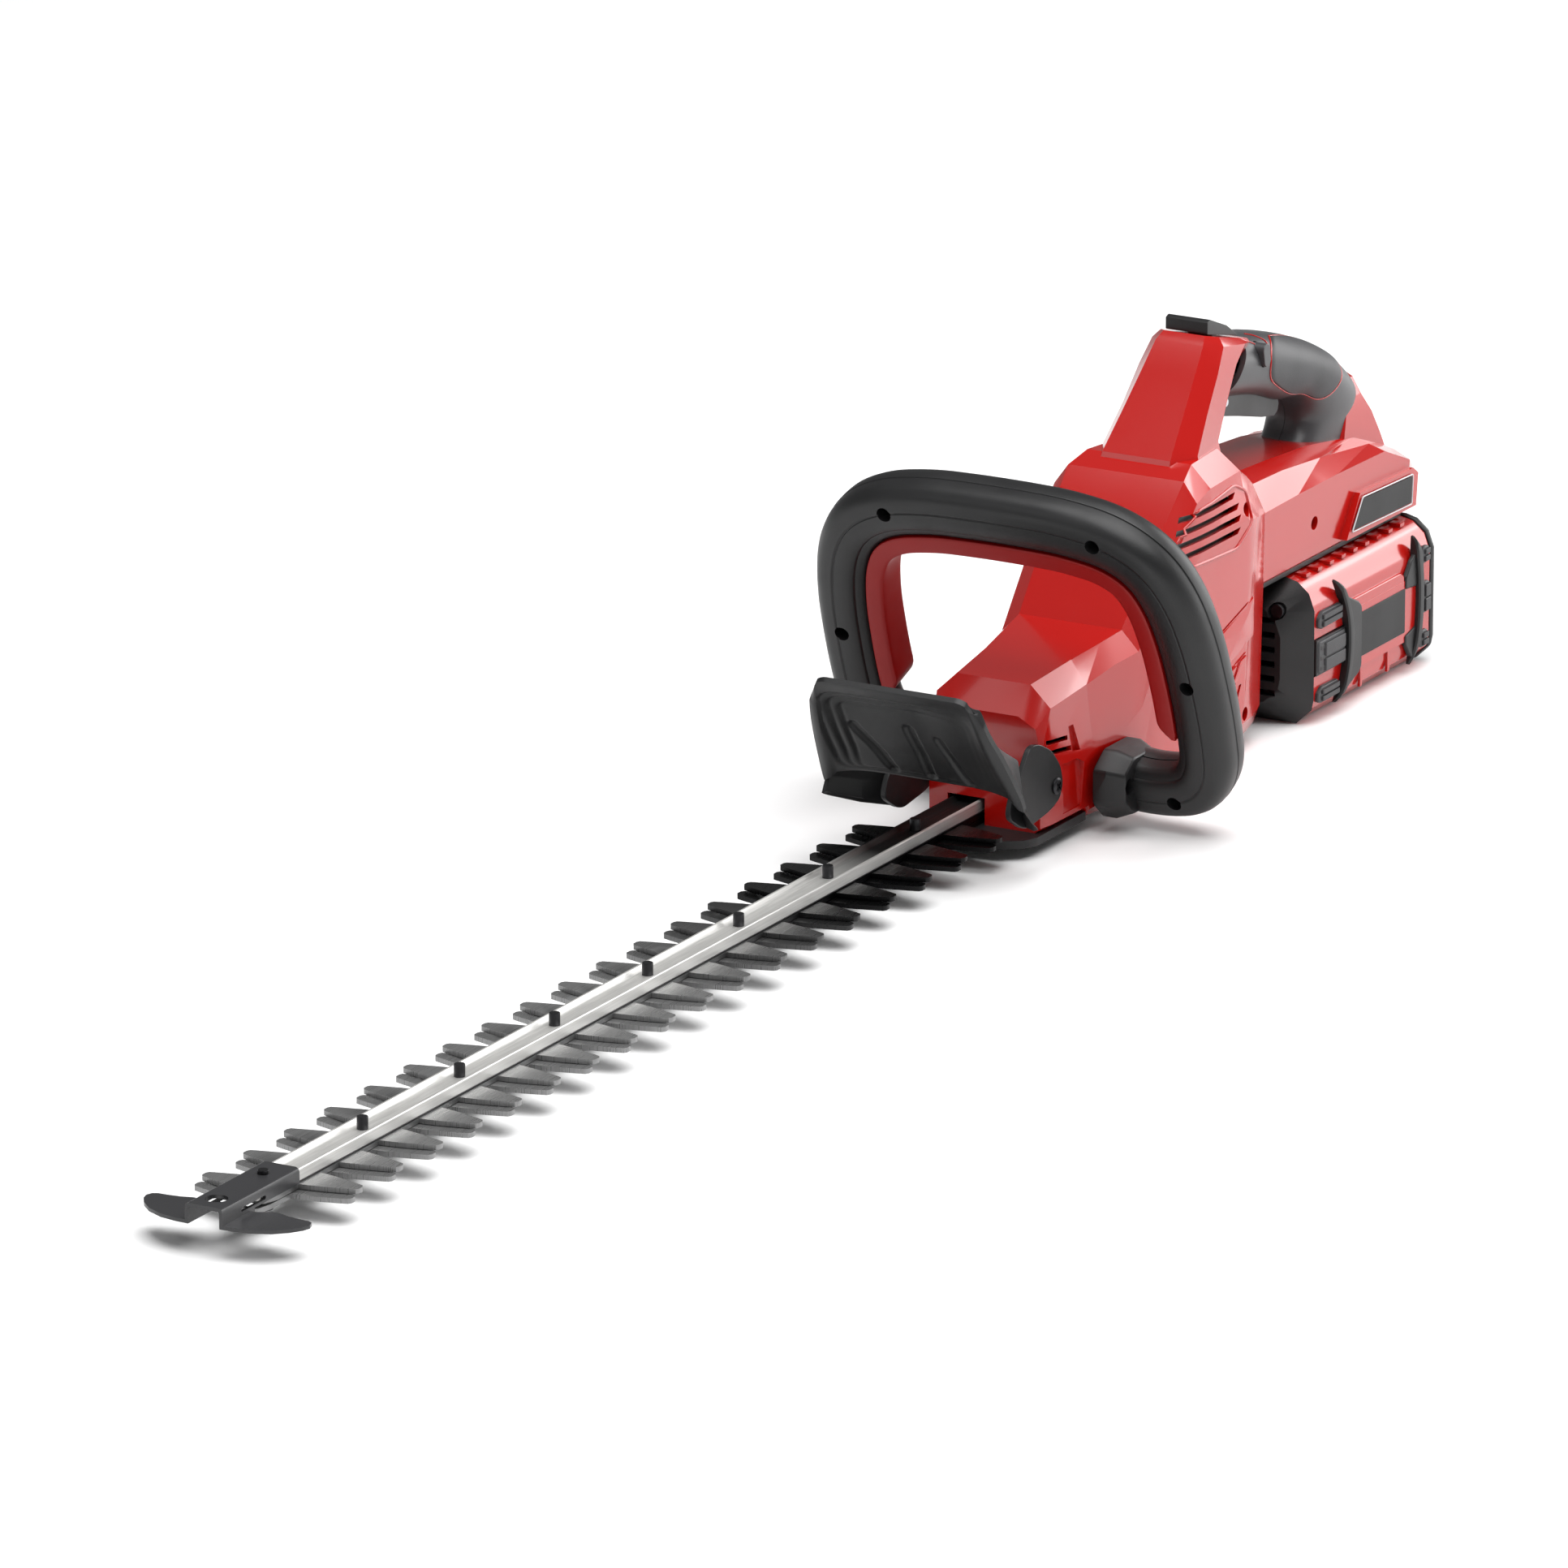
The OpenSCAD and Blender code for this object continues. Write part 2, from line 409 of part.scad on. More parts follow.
// ---------- hand shield ----------
// rows from the top edge down: panel side point, outer edge point
SHIELD = [[[33, -92, 88.5], [35.6, -94, 90]], [[33, -85, 81], [43, -93.5, 79]], [[32.5, -67, 61], [50.7, -83, 57.2]],
  [[32, -50, 42], [56, -68, 36]], [[31, -42, 33], [57, -60, 25]], [[31, -36, 18], [46, -48.5, 19.5]]];
sh_n = [0, 0.74, 0.672];
module shield_skin() {
  t = 3;
  // panel
  loft([for (i = [0:4]) let (a = SHIELD[i][0], n = sh_n * t)
    [[a[0], a[1], a[2]], a + n, [-a[0], a[1] + n[1], a[2] + n[2]], [-a[0], a[1], a[2]]]]);
}
module shield_wing() {
  loft([for (i = [0:5]) let (a = SHIELD[i][0], b = SHIELD[i][1], n = i == 5 ? [-1.4, 2.2, 0.4] : [0.3, 2.3, 1.5])
    [a + [-0.6, 0, 0], b, b + n, a + n + [-0.6, 0, 0]]]);
}
module hand_shield() color(DARK) difference() {
  union() {
    shield_skin();
    both() {
      shield_wing();
      // ear that is screwed to the nose
      prism_x([[-46, 18], [-38, 12], [-20, 7], [-8, 8], [1, 14], [5, 24], [3, 34], [-6, 44], [-18, 50], [-26, 51], [-38, 36], [-44, 30]], 30.7, 33.2);
    }
    // embossed frame and ribs on the panel's face
    for (r = [[29, 4, 10, 2], [23, 9, 15, 1.2]]) shield_plate(r[0], r[1], r[2], 1);
    for (k = [-1, 0, 1]) shield_rib(k);
  }
  both() cyl_x(28, 36, -2, 26, 1.9);
}
// point on the panel face: x across, d down from the top edge
function sp(x, d, h) = [x, -92 + d * 0.666 - h * 0.746, 88.5 - d * 0.746 - h * 0.666];
module shield_plate(w, top, bot, h) difference() {
  loft([for (q = [[top, w], [76 - bot, w - 1.5]]) [sp(q[1], q[0], -1), sp(-q[1], q[0], -1), sp(-q[1], q[0], h), sp(q[1], q[0], h)]]);
  loft([for (q = [[top + 2.2, w - 2.2], [76 - bot - 2.2, w - 3.7]]) [sp(q[1], q[0], -2), sp(-q[1], q[0], -2), sp(-q[1], q[0], h + 1), sp(q[1], q[0], h + 1)]]);
}
module shield_rib(k) let (x = 12 * k) loft([for (q = [[20, x - 4], [56, x + 4]])
  [sp(q[1] + 1.2, q[0], -1), sp(q[1] - 1.2, q[0], -1), sp(q[1] - 0.8, q[0], 1.2), sp(q[1] + 0.8, q[0], 1.2)]]);
module shield_screws() color(STEEL) both() { cyl_x(22, 33.2, -2, 26, 1.85); cyl_x(33.2, 35.4, -2, 26, 3.4); }

// ---------- front handle ----------
HANDLE_O = [0, 30.2, 79];
module handle_place() translate(HANDLE_O) rotate([handle_tilt, 0, 0]) children();
HP = [[41.5, -66], [62, -67], [79, -63], [87.6, -50], [89.4, -30], [89.6, -8], [88.2, 20], [83.5, 43], [74, 59.4], [58, 69.6], [36, 74], [14, 75]];
HPF = concat(HP, [for (i = [len(HP) - 1:-1:0]) [-HP[i][0], HP[i][1]]]);
HPATH = chaikin(HPF);
function tang(p, i) = let (a = p[max(0, i - 1)], b = p[min(len(p) - 1, i + 1)], v = b - a) v / norm(v);
function sect(p, i, q) = let (t = tang(p, i), o = [t[1], -t[0]]) [for (s = q) [p[i][0] + o[0] * s[0], s[1], p[i][1] + o[1] * s[0]]];
hw2 = tube_w / 2; hd2 = tube_d / 2;
FR_O = [[-hw2, -0.1], [-hw2, -hd2 + 8.5], [-hw2 + 2.6, -hd2 + 3], [-hw2 + 7.5, -hd2], [hw2 - 7.5, -hd2], [hw2 - 2.6, -hd2 + 3], [hw2, -hd2 + 8.5], [hw2, -0.1]];
FR_I = [[-hw2 + 3, -0.1], [-hw2 + 3, -hd2 + 9], [-hw2 + 4.6, -hd2 + 5.4], [-hw2 + 8.2, -hd2 + 3], [hw2 - 8.2, -hd2 + 3], [hw2 - 4.6, -hd2 + 5.4], [hw2 - 3, -hd2 + 9], [hw2 - 3, -0.1]];
function flip_n(q) = [for (i = [len(q) - 1:-1:0]) [q[i][0], -q[i][1]]];
HOLES = [[53.4, 72.2], [88.9, 0], [70.8, -67.5]];
// channel runs the other way round, so that the skin faces outwards
module handle_channel(o, i) channel([for (k = [len(HPATH) - 1:-1:0]) sect(HPATH, k, o)], [for (k = [len(HPATH) - 1:-1:0]) sect(HPATH, k, i)]);
module hole_n(h, n0, n1, r) translate([h[0], n0, h[1]]) rotate([-90, 0, 0]) cylinder(h = n1 - n0, r = r);
module front_handle_front_shell() color(DARK) handle_place() difference() {
  union() {
    handle_channel(FR_O, FR_I);
    both() for (h = HOLES) hole_n(h, -hd2 + 2.5, -0.1, 4.8);
  }
  both() for (h = HOLES) { hole_n(h, -hd2 - 2, -hd2 + 7.5, 3.75); hole_n(h, -hd2, 1, 1.75); }
}
module front_handle_rear_shell() color(DARK) handle_place() difference() {
  union() {
    handle_channel(flip_n(FR_O), flip_n(FR_I));
    both() for (h = HOLES) hole_n(h, 0.1, hd2 - 2.5, 4.4);
  }
  both() for (h = HOLES) hole_n(h, -1, hd2 - 4, 1.72);
}
module front_handle_screws() color(STEEL) {
  handle_place() both() for (h = HOLES) { hole_n(h, -hd2 + 7.5, 9, 1.7); hole_n(h, -hd2 + 5.2, -hd2 + 7.5, 3.3); }
  both() { cyl_x(24, 38.6, 38, 18, 1.9); cyl_x(38.6, 40.8, 38, 18, 3.4); }
}
LN = [for (i = [0:len(HPATH) - 1]) if (HPATH[i][1] > -36) HPATH[i]];
LQ = [[-hw2 - 9, -8], [-hw2 - 7.4, -9.4], [-hw2 - 0.05, -9.4], [-hw2 - 0.05, 9.4], [-hw2 - 7.4, 9.4], [-hw2 - 9, 8]];
module front_handle_liner() color([0.5, 0.06, 0.05]) handle_place()
  loft([for (k = [0:len(LN) - 1]) let (e = (k == 0 || k == len(LN) - 1) ? 0.45 : 1)
    [for (i = [len(LQ) - 1:-1:0]) each sect(LN, k, [[LQ[i][0] * e + (1 - e) * (-hw2 - 0.05), LQ[i][1] * (e < 1 ? 0.9 : 1)]])]]);
CLAMP = [[28, 25], [28, 9], [39, 0.6], [62, 0.6], [70, 8], [70, 26], [61, 33], [38, 33]];
module handle_clamps() color(DARK) both() difference() {
  loft([for (q = [[40.9, 0.84], [38.6, 0.95], [36.4, 1]]) [for (p = CLAMP) [q[0], 49 + (p[0] - 49) * q[1], 16.8 + (p[1] - 16.8) * q[1]]]]);
  cyl_x(30, 48, 38, 18, 1.95);
  cyl_x(38.6, 48, 38, 18, 3.5);
}

// ---------- trim ----------
module badge_plates() color(BLACK) both() prism_x([[281, 74.2], [291.5, 88.6], [343, 86.8], [342, 72.8]], 37, 37.7);
module vent_screens() color(BLACK) both() translate([40.6, 118, 115.5]) rotate([0, -9.5, 0])
  prism_x([[-16, -13], [-11.6, -13], [-11.2, -11], [-0.8, -11], [-0.4, -13], [44, -14], [46.6, -7], [46.2, 6], [41.6, 9.6], [-2, 7]], -8.6, -7.8);

// ---------- rear grip pieces ----------
module cross_shape(r, x0, x1) { cyl_x(x0, x1, 229, 176.2 - 8.5, r); cyl_x(x0, x1, 228, 176.2 - 3.5, r);
  prism_x([[229 - r, 167.7], [229 + r, 167.7], [228 + r, 172.7], [228 - r, 172.7]], x0, x1); }
module grip_half_shell(left) difference() {
  grip_half();
  grip_cavity();
  // slot for the trigger in the underside
  prism_x([[190, 134], [264, 124], [266, 148], [190, 165]], -1, 8.5);
  cross_shape(3.6, -1, 30);
  // passages into the tower and the column
  prism_x([[190, 158], [222, 178], [226, 172], [204, 152]], -1, 11);
}
module rear_grip_left() color(GRIP) grip_half_shell(true);
module rear_grip_right() color(GRIP) mirror([1, 0, 0]) grip_half_shell(false);
module grip_pads() color([0.36, 0.36, 0.37]) both() difference() {
  intersection() {
    grip_half(-0.7);
    prism_x([[249, 165.5], [244.5, 158], [243.5, 151.5], [280, 138], [303, 131], [311, 134], [314, 142], [310, 150], [298, 158], [282, 163.5], [262, 167.3], [252, 167.8]], 9, 30);
  }
  grip_full(-0.02);
}
module trigger() color(DARK) difference() {
  prism_x([[207, 144.6], [222, 141], [246, 134.6], [258, 132.4], [261.4, 134], [262.4, 137.2], [261, 143.6], [232, 152.4], [210, 158], [202, 156.8], [198.8, 151.5], [201, 146.6]], -8, 8);
  cyl_x(-10, 10, 204.4, 152.2, 2.06);
}
module trigger_pin() color(STEEL) cyl_x(-11, 11, 204.4, 152.2, 2);
module trigger_spring() color(STEEL) translate([0, 236, 151.6]) coil(2.6, 0.45, 7, 4);
module switch() color(BLACK) {
  box([-7, 244, 157], [7, 266, 163]);
  box([-3, 246, 163], [3, 262, 165]);
  box([-4, 230, 158.8], [4, 244.5, 161]);
}
s_dir = [0, -0.9701, 0.2425];
module lock_off_slider() color(BLACK) {
  prism_x([[184.4, 189.6], [184.4, 195.2], [187, 196.2], [204, 189.4], [213.6, 183.2], [213.6, 182.3]], -11, 11);
  prism_x([[193.8, 176.5], [202.6, 176.5], [202.6, 186], [193.8, 188]], -4, 4);
}
module lock_off_spring() color(STEEL) translate([0, 178.3, 180.3]) rotate([-90 - 14, 0, 0]) coil(2.4, 0.4, 14.8, 6);
module cross_button() color([0.32, 0.32, 0.33]) cross_shape(3.2, -17.3, 19.4);
module cross_button_spring() color(STEEL) translate([10, 236.4, 170]) rotate([0, -90, 0]) coil(2, 0.35, 12, 6);

// ---------- electronics ----------
module controller_board() color([0.1, 0.35, 0.2]) {
  box([-28, 122, 50], [28, 166, 51.6]);
  for (i = [0:2]) cyl_z(-16 + 16 * i, 132, 51.6, 68, 6.5);
  for (i = [0:5]) box([-26 + 9 * i, 146, 51.6], [-20 + 9 * i, 150, 62]);
  box([-10, 156, 51.6], [10, 163, 55]);
}
module heat_sink() color(STEEL) {
  box([-28, 122, 44], [28, 166, 50]);
  for (i = [0:8]) box([-28 + 6.8 * i, 122, 30], [-26.4 + 6.8 * i, 166, 44]);
}
module terminal_block() color(BLACK) difference() {
  union() {
    box([-20, 199.1, 12], [20, 215.4, 60]);
    for (i = [0:5]) box([20, 200, 16 + 7 * i], [23, 214, 19 + 7 * i]);
  }
  for (i = [0:3]) box([-12.6 + 8 * i, 203, 40], [-11.2 + 8 * i, 217, 53]);
}
module tool_terminals() color([0.75, 0.45, 0.25]) for (i = [0:3]) box([-12.4 + 8 * i, 203.2, 41], [-11.4 + 8 * i, 226, 52]);
module tool_rails() color(DARK) both() box([17.4, 203, 65.3], [30.6, 345, 68]);

// ---------- battery ----------
bw = batt_w / 2;
BO = [[-bw + 9, -4.5], [bw - 9, -4.5], [bw - 1, 3], [bw, 8], [bw, 50], [bw - 3, 58], [bw - 9, 63], [bw - 15, 64.5], [-bw + 15, 64.5], [-bw + 9, 63], [-bw + 3, 58], [-bw, 50], [-bw, 8], [-bw + 1, 3]];
function shrink(P, t) = [for (p = P) [p[0] - sign(p[0]) * t, p[1] < 20 ? p[1] + t : p[1] - t]];
module release_cut(g) prism_x([[229.4 - g, 18.4 - g], [259 + g, 18.4 - g], [259 + g, 35.8 + g], [229.4 - g, 35.8 + g]], bw - 6, bw + 6);
module battery_shell() color(RED) difference() {
  union() {
    prism_y(BO, 228, 347);
    // raised side panel
    both() prism_x([[262, 12], [330, 12], [334, 18], [334, 34], [326, 42], [268, 42], [262, 36]], bw - 1, bw + 1.6);
    // rails on the top
    both() { box([13, 230, 64], [17, 345, 70.4]); box([16.9, 230, 68.4], [23.4, 345, 70.4]); }
    // cross ribs on the top edge
    for (i = [0:8]) both() box([31, 236 + 12 * i, 63.6], [37, 240 + 12 * i, 65.2]);
  }
  prism_y(shrink(BO, 3), 220, 350);
  both() release_cut(0.4);
}
function cap_ring(y, t) = [for (p = shrink(BO, t)) [p[0], y, p[1]]];
module battery_front_cap() color(DARK) difference() {
  loft([cap_ring(216, 11), cap_ring(219, 7.5), cap_ring(227.9, -0.7)]);
  prism_y(shrink(BO, 14), 219.5, 229);
  for (i = [0:3]) box([-13 + 8 * i, 214, 39], [-10.8 + 8 * i, 230, 54]);
  both() for (i = [0:5]) box([22, 214, 10 + 7 * i], [31, 220.4, 13 + 7 * i]);
  both() translate([bw - 14, 213, 51]) rotate([-90, 0, 0]) cylinder(h = 8, r = 4);
}
module battery_rear_cap() color(DARK) difference() {
  loft([cap_ring(347.1, -0.8), cap_ring(351, -0.8), cap_ring(355.6, 4)]);
  prism_y(shrink(BO, 3), 346, 352);
}
module battery_brackets() color(BLACK) both() {
  prism_x([[248.5, 58.6], [252, 57], [262, 49], [268, 44.5], [272, 42.5], [272, 12], [268, 9], [258, 4], [249, 1.4], [255.6, 8], [260.2, 17], [261.4, 27], [259.6, 37], [255, 48]], bw + 1.7, bw + 4);
  prism_x([[327, 58.8], [330.6, 48], [333, 38], [333, 22], [330.6, 10], [326.4, 1.4], [322.6, 8], [319.6, 13], [319.6, 42.5], [322.4, 50]], bw + 1.7, bw + 4);
}
module pad_row(y0, y1, z0, z1) {
  prism_x([[y0, z0], [y1, z0 + 0.5], [y1 + 1, (z0 + z1) / 2], [y1, z1 - 0.5], [y0, z1 - 2]], bw + 0.1, bw + 2.4);
  prism_x([[y0 + 1, (z0 + z1) / 2 - 1.2], [y1 - 1, (z0 + z1) / 2 - 0.6], [y1 - 1, (z0 + z1) / 2 + 1.4], [y0 + 1, (z0 + z1) / 2 + 0.8]], bw + 2.3, bw + 3.1);
}
module battery_pads() color([0.3, 0.3, 0.3]) both() {
  pad_row(231, 253, 42.5, 49.5);
  pad_row(231, 253, 4, 13.5);
  pad_row(334.5, 344, 46, 56);
  pad_row(334.5, 345.5, 22, 38);
  pad_row(334.5, 344, 5, 15);
}
module battery_labels() color(BLACK) both() prism_x([[273.4, 17], [318.4, 17], [318.4, 36], [273.4, 36]], bw + 1.6, bw + 2.1);
module battery_cells() color([0.2, 0.4, 0.7]) for (i = [0:4]) for (k = [0:2]) cyl_x(-32.5, 32.5, 242 + 22.6 * i, 10.4 + 19.4 * k, cell_d / 2);
module battery_screws() color(STEEL) both() translate([bw - 14, 217.6, 51]) rotate([-90, 0, 0]) { cylinder(h = 2.2, r = 3.4); }
module release_button() {
  difference() {
    prism_x([[229.4, 18.4], [259, 18.4], [259, 35.8], [229.4, 35.8]], bw - 5, bw + 1.2);
    cyl_x(bw - 6, bw - 1.5, 244, 27, 3.5);
  }
  for (i = [0:2]) prism_x([[232, 20.4 + 5 * i], [256, 20.4 + 5 * i], [256, 23 + 5 * i], [232, 23 + 5 * i]], bw + 1.1, bw + 2.2);
}
module release_button_left() color([0.3, 0.3, 0.3]) release_button();
module release_button_right() color([0.3, 0.3, 0.3]) mirror([1, 0, 0]) release_button();
module release_springs() color(STEEL) both() translate([33.2, 244, 27]) rotate([0, 90, 0]) coil(2.6, 0.4, bw - 4.8 - 33.2, 4);

module housing_screws() color(STEEL) {
  for (b = BOSSES) { cyl_x(-8, b[2] - 7, b[0], b[1], screw_d / 2); cyl_x(b[2] - 7, b[2] - 5, b[0], b[1], 3); }
  for (p = PLATE_SCREWS) { cyl_z(p[0], p[1], 0.6, 6, 1.6); cyl_z(p[0], p[1], 0.2, 1.6, 3); }
  for (p = POSTS) { cyl_z(p[0], p[1], 12, 30, 1.4); cyl_z(p[0], p[1], 30, 31.4, 3); }
}

housing_left();
housing_right();
base_plate();
gear_case();
gear_cover();
housing_screws();
hand_shield();
shield_screws();
front_handle_front_shell();
front_handle_rear_shell();
front_handle_liner();
front_handle_screws();
handle_clamps();
badge_plates();
vent_screens();
rear_grip_left();
rear_grip_right();
grip_pads();
trigger();
trigger_pin();
trigger_spring();
switch();
lock_off_slider();
lock_off_spring();
cross_button();
cross_button_spring();
motor_stator();
motor_end_bell();
motor_rotor();
motor_shaft();
motor_fan();
motor_pinion();
motor_bearings();
crank_shaft();
crank_gear();
crank_bearings();
upper_blade();
lower_blade();
blade_bar();
guide_strip();
blade_bolts();
bolt_bushes();
tip_guard();
controller_board();
heat_sink();
terminal_block();
tool_terminals();
tool_rails();
battery_shell();
battery_front_cap();
battery_rear_cap();
battery_brackets();
battery_pads();
battery_labels();
battery_cells();
battery_screws();
release_button_left();
release_button_right();
release_springs();
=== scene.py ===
import json, math
import bpy, bmesh
from mathutils import Vector, Matrix


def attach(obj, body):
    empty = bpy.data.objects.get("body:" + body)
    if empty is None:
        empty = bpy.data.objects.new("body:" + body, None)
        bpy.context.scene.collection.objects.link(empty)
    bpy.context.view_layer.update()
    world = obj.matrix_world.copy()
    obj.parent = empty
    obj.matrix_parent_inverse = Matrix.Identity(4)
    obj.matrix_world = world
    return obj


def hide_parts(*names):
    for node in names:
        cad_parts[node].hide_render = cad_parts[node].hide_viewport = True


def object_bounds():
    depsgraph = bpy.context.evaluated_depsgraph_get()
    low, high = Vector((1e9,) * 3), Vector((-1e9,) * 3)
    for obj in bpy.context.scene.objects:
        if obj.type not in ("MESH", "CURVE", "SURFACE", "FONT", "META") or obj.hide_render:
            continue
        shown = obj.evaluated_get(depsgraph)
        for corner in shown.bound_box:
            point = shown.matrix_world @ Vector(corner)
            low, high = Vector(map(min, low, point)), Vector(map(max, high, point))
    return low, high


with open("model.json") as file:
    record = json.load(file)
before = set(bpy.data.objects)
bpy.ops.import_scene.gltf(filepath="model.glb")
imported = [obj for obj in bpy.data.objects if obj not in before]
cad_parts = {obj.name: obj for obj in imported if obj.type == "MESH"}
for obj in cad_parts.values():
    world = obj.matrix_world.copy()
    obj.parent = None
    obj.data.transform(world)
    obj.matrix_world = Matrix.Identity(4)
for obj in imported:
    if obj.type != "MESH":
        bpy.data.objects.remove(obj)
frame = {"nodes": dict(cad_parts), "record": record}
NODES = frame["nodes"]
cad_lo, cad_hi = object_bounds()
MM = 0.001


# ------------------------------------------------------------------ materials
def srgb(r, g, b):
    def f(c):
        c /= 255.0
        return c / 12.92 if c <= 0.04045 else ((c + 0.055) / 1.055) ** 2.4
    return (f(r), f(g), f(b), 1.0)


class Mat:
    """A procedural Principled material built from a few noise layers."""

    def __init__(self, name, colour, rough, metallic=0.0, spec=0.5, coat=0.0, coat_rough=0.1):
        self.m = bpy.data.materials.new(name)
        self.m.use_nodes = True
        self.t = self.m.node_tree
        self.n = self.t.nodes
        self.b = self.n["Principled BSDF"]
        self.b.inputs["Base Color"].default_value = colour
        self.b.inputs["Roughness"].default_value = rough
        self.b.inputs["Metallic"].default_value = metallic
        self.b.inputs["Specular IOR Level"].default_value = spec
        self.b.inputs["Coat Weight"].default_value = coat
        self.b.inputs["Coat Roughness"].default_value = coat_rough * 0.7
        self.tc = self.n.new("ShaderNodeTexCoord")
        self.last_bump = None

    def mapping(self, scale):
        mp = self.n.new("ShaderNodeMapping")
        mp.inputs["Scale"].default_value = scale
        self.t.links.new(self.tc.outputs["Object"], mp.inputs["Vector"])
        return mp.outputs["Vector"]

    def noise(self, scale, detail=3.0, rough=0.5, stretch=None):
        nz = self.n.new("ShaderNodeTexNoise")
        nz.inputs["Scale"].default_value = scale
        nz.inputs["Detail"].default_value = detail
        nz.inputs["Roughness"].default_value = rough
        if stretch:
            self.t.links.new(self.mapping(stretch), nz.inputs["Vector"])
        else:
            self.t.links.new(self.tc.outputs["Object"], nz.inputs["Vector"])
        return nz.outputs["Fac"]

    def voronoi(self, scale, stretch=None):
        v = self.n.new("ShaderNodeTexVoronoi")
        v.inputs["Scale"].default_value = scale
        self.t.links.new(self.mapping(stretch) if stretch else self.tc.outputs["Object"], v.inputs["Vector"])
        return v.outputs["Distance"]

    def ramp(self, fac, stops):
        r = self.n.new("ShaderNodeValToRGB")
        e = r.color_ramp.elements
        while len(e) < len(stops):
            e.new(0.5)
        for el, (p, c) in zip(e, stops):
            el.position = p
            el.color = c if len(c) == 4 else (*c, 1)
        self.t.links.new(fac, r.inputs["Fac"])
        return r.outputs["Color"]

    def colour(self, fac, stops):
        self.t.links.new(self.ramp(fac, stops), self.b.inputs["Base Color"])
        return self

    def roughness(self, fac, lo, hi):
        mr = self.n.new("ShaderNodeMapRange")
        mr.inputs["To Min"].default_value = lo
        mr.inputs["To Max"].default_value = hi
        mr.inputs["From Min"].default_value = 0.3
        mr.inputs["From Max"].default_value = 0.7
        self.t.links.new(fac, mr.inputs["Value"])
        self.t.links.new(mr.outputs["Result"], self.b.inputs["Roughness"])
        return self

    def bump(self, fac, strength, dist):
        bp = self.n.new("ShaderNodeBump")
        bp.inputs["Strength"].default_value = strength
        bp.inputs["Distance"].default_value = dist
        self.t.links.new(fac, bp.inputs["Height"])
        if self.last_bump:
            self.t.links.new(self.last_bump, bp.inputs["Normal"])
        self.t.links.new(bp.outputs["Normal"], self.b.inputs["Normal"])
        self.last_bump = bp.outputs["Normal"]
        return self


def shade(c, k):
    return (min(1, c[0] * k), min(1, c[1] * k), min(1, c[2] * k), 1)


def plastic(name, c, rough, grain=1.0, spec=0.5, coat=0.0, vary=0.06, rv=0.05):
    m = Mat(name, c, rough, spec=spec, coat=coat)
    n1 = m.noise(14, 4)
    m.colour(n1, [(0.3, shade(c, 1 - vary)), (0.7, shade(c, 1 + vary))])
    m.roughness(m.noise(45, 3), rough - rv, rough + rv)
    if grain:
        m.bump(m.voronoi(1900), 0.10 * grain, 0.0002)
        m.bump(m.noise(700, 2), 0.06 * grain, 0.0003)
    m.bump(m.noise(9, 2), 0.03, 0.004)
    return m.m


def metal(name, c, rough, stretch=(1, 60, 1), depth=0.12, vary=0.12):
    m = Mat(name, c, rough, metallic=1.0)
    n1 = m.noise(30, 4, stretch=stretch)
    m.colour(n1, [(0.3, shade(c, 1 - vary)), (0.7, shade(c, 1 + vary))])
    m.roughness(m.noise(60, 3, stretch=stretch), rough - 0.07, rough + 0.1)
    m.bump(m.noise(400, 3, stretch=stretch), depth, 0.0001)
    return m.m


RED = srgb(172, 15, 9)
MATS = {
    "red_shell": plastic("red_shell", RED, 0.17, grain=0, spec=0.55, coat=0.4, vary=0.015, rv=0.006),
    "black_plastic": plastic("black_plastic", srgb(24, 24, 25), 0.44, grain=1.0, spec=0.42),
    "liner_red": plastic("liner_red", srgb(146, 6, 5), 0.44, grain=0.3, spec=0.3),
    "grip_grey": plastic("grip_grey", srgb(60, 60, 62), 0.40, grain=0.6, spec=0.5),
    "soft_pad": plastic("soft_pad", srgb(50, 50, 52), 0.48, grain=1.6, spec=0.4),
    "blade_steel": None,
    "bar_aluminium": None,
    "steel": metal("steel", srgb(190, 190, 194), 0.32),
    "dark_steel": metal("dark_steel", srgb(58, 58, 60), 0.40, stretch=(1, 1, 1)),
    "tip_steel": plastic("tip_steel", srgb(42, 42, 44), 0.36, grain=0.8, spec=0.6),
    "alloy": metal("alloy", srgb(176, 176, 178), 0.5, stretch=(1, 1, 1)),
    "copper": metal("copper", srgb(206, 132, 84), 0.3),
    "circuit": plastic("circuit", srgb(20, 96, 56), 0.4, grain=0.4),
    "cell_wrap": plastic("cell_wrap", srgb(34, 38, 48), 0.3, grain=0.1),
    "badge_black": plastic("badge_black", srgb(14, 14, 15), 0.34, grain=0.0, spec=0.22),
}


RIM_X = max(v.co.x for v in NODES["blade_bar"].data.vertices) - 0.0034


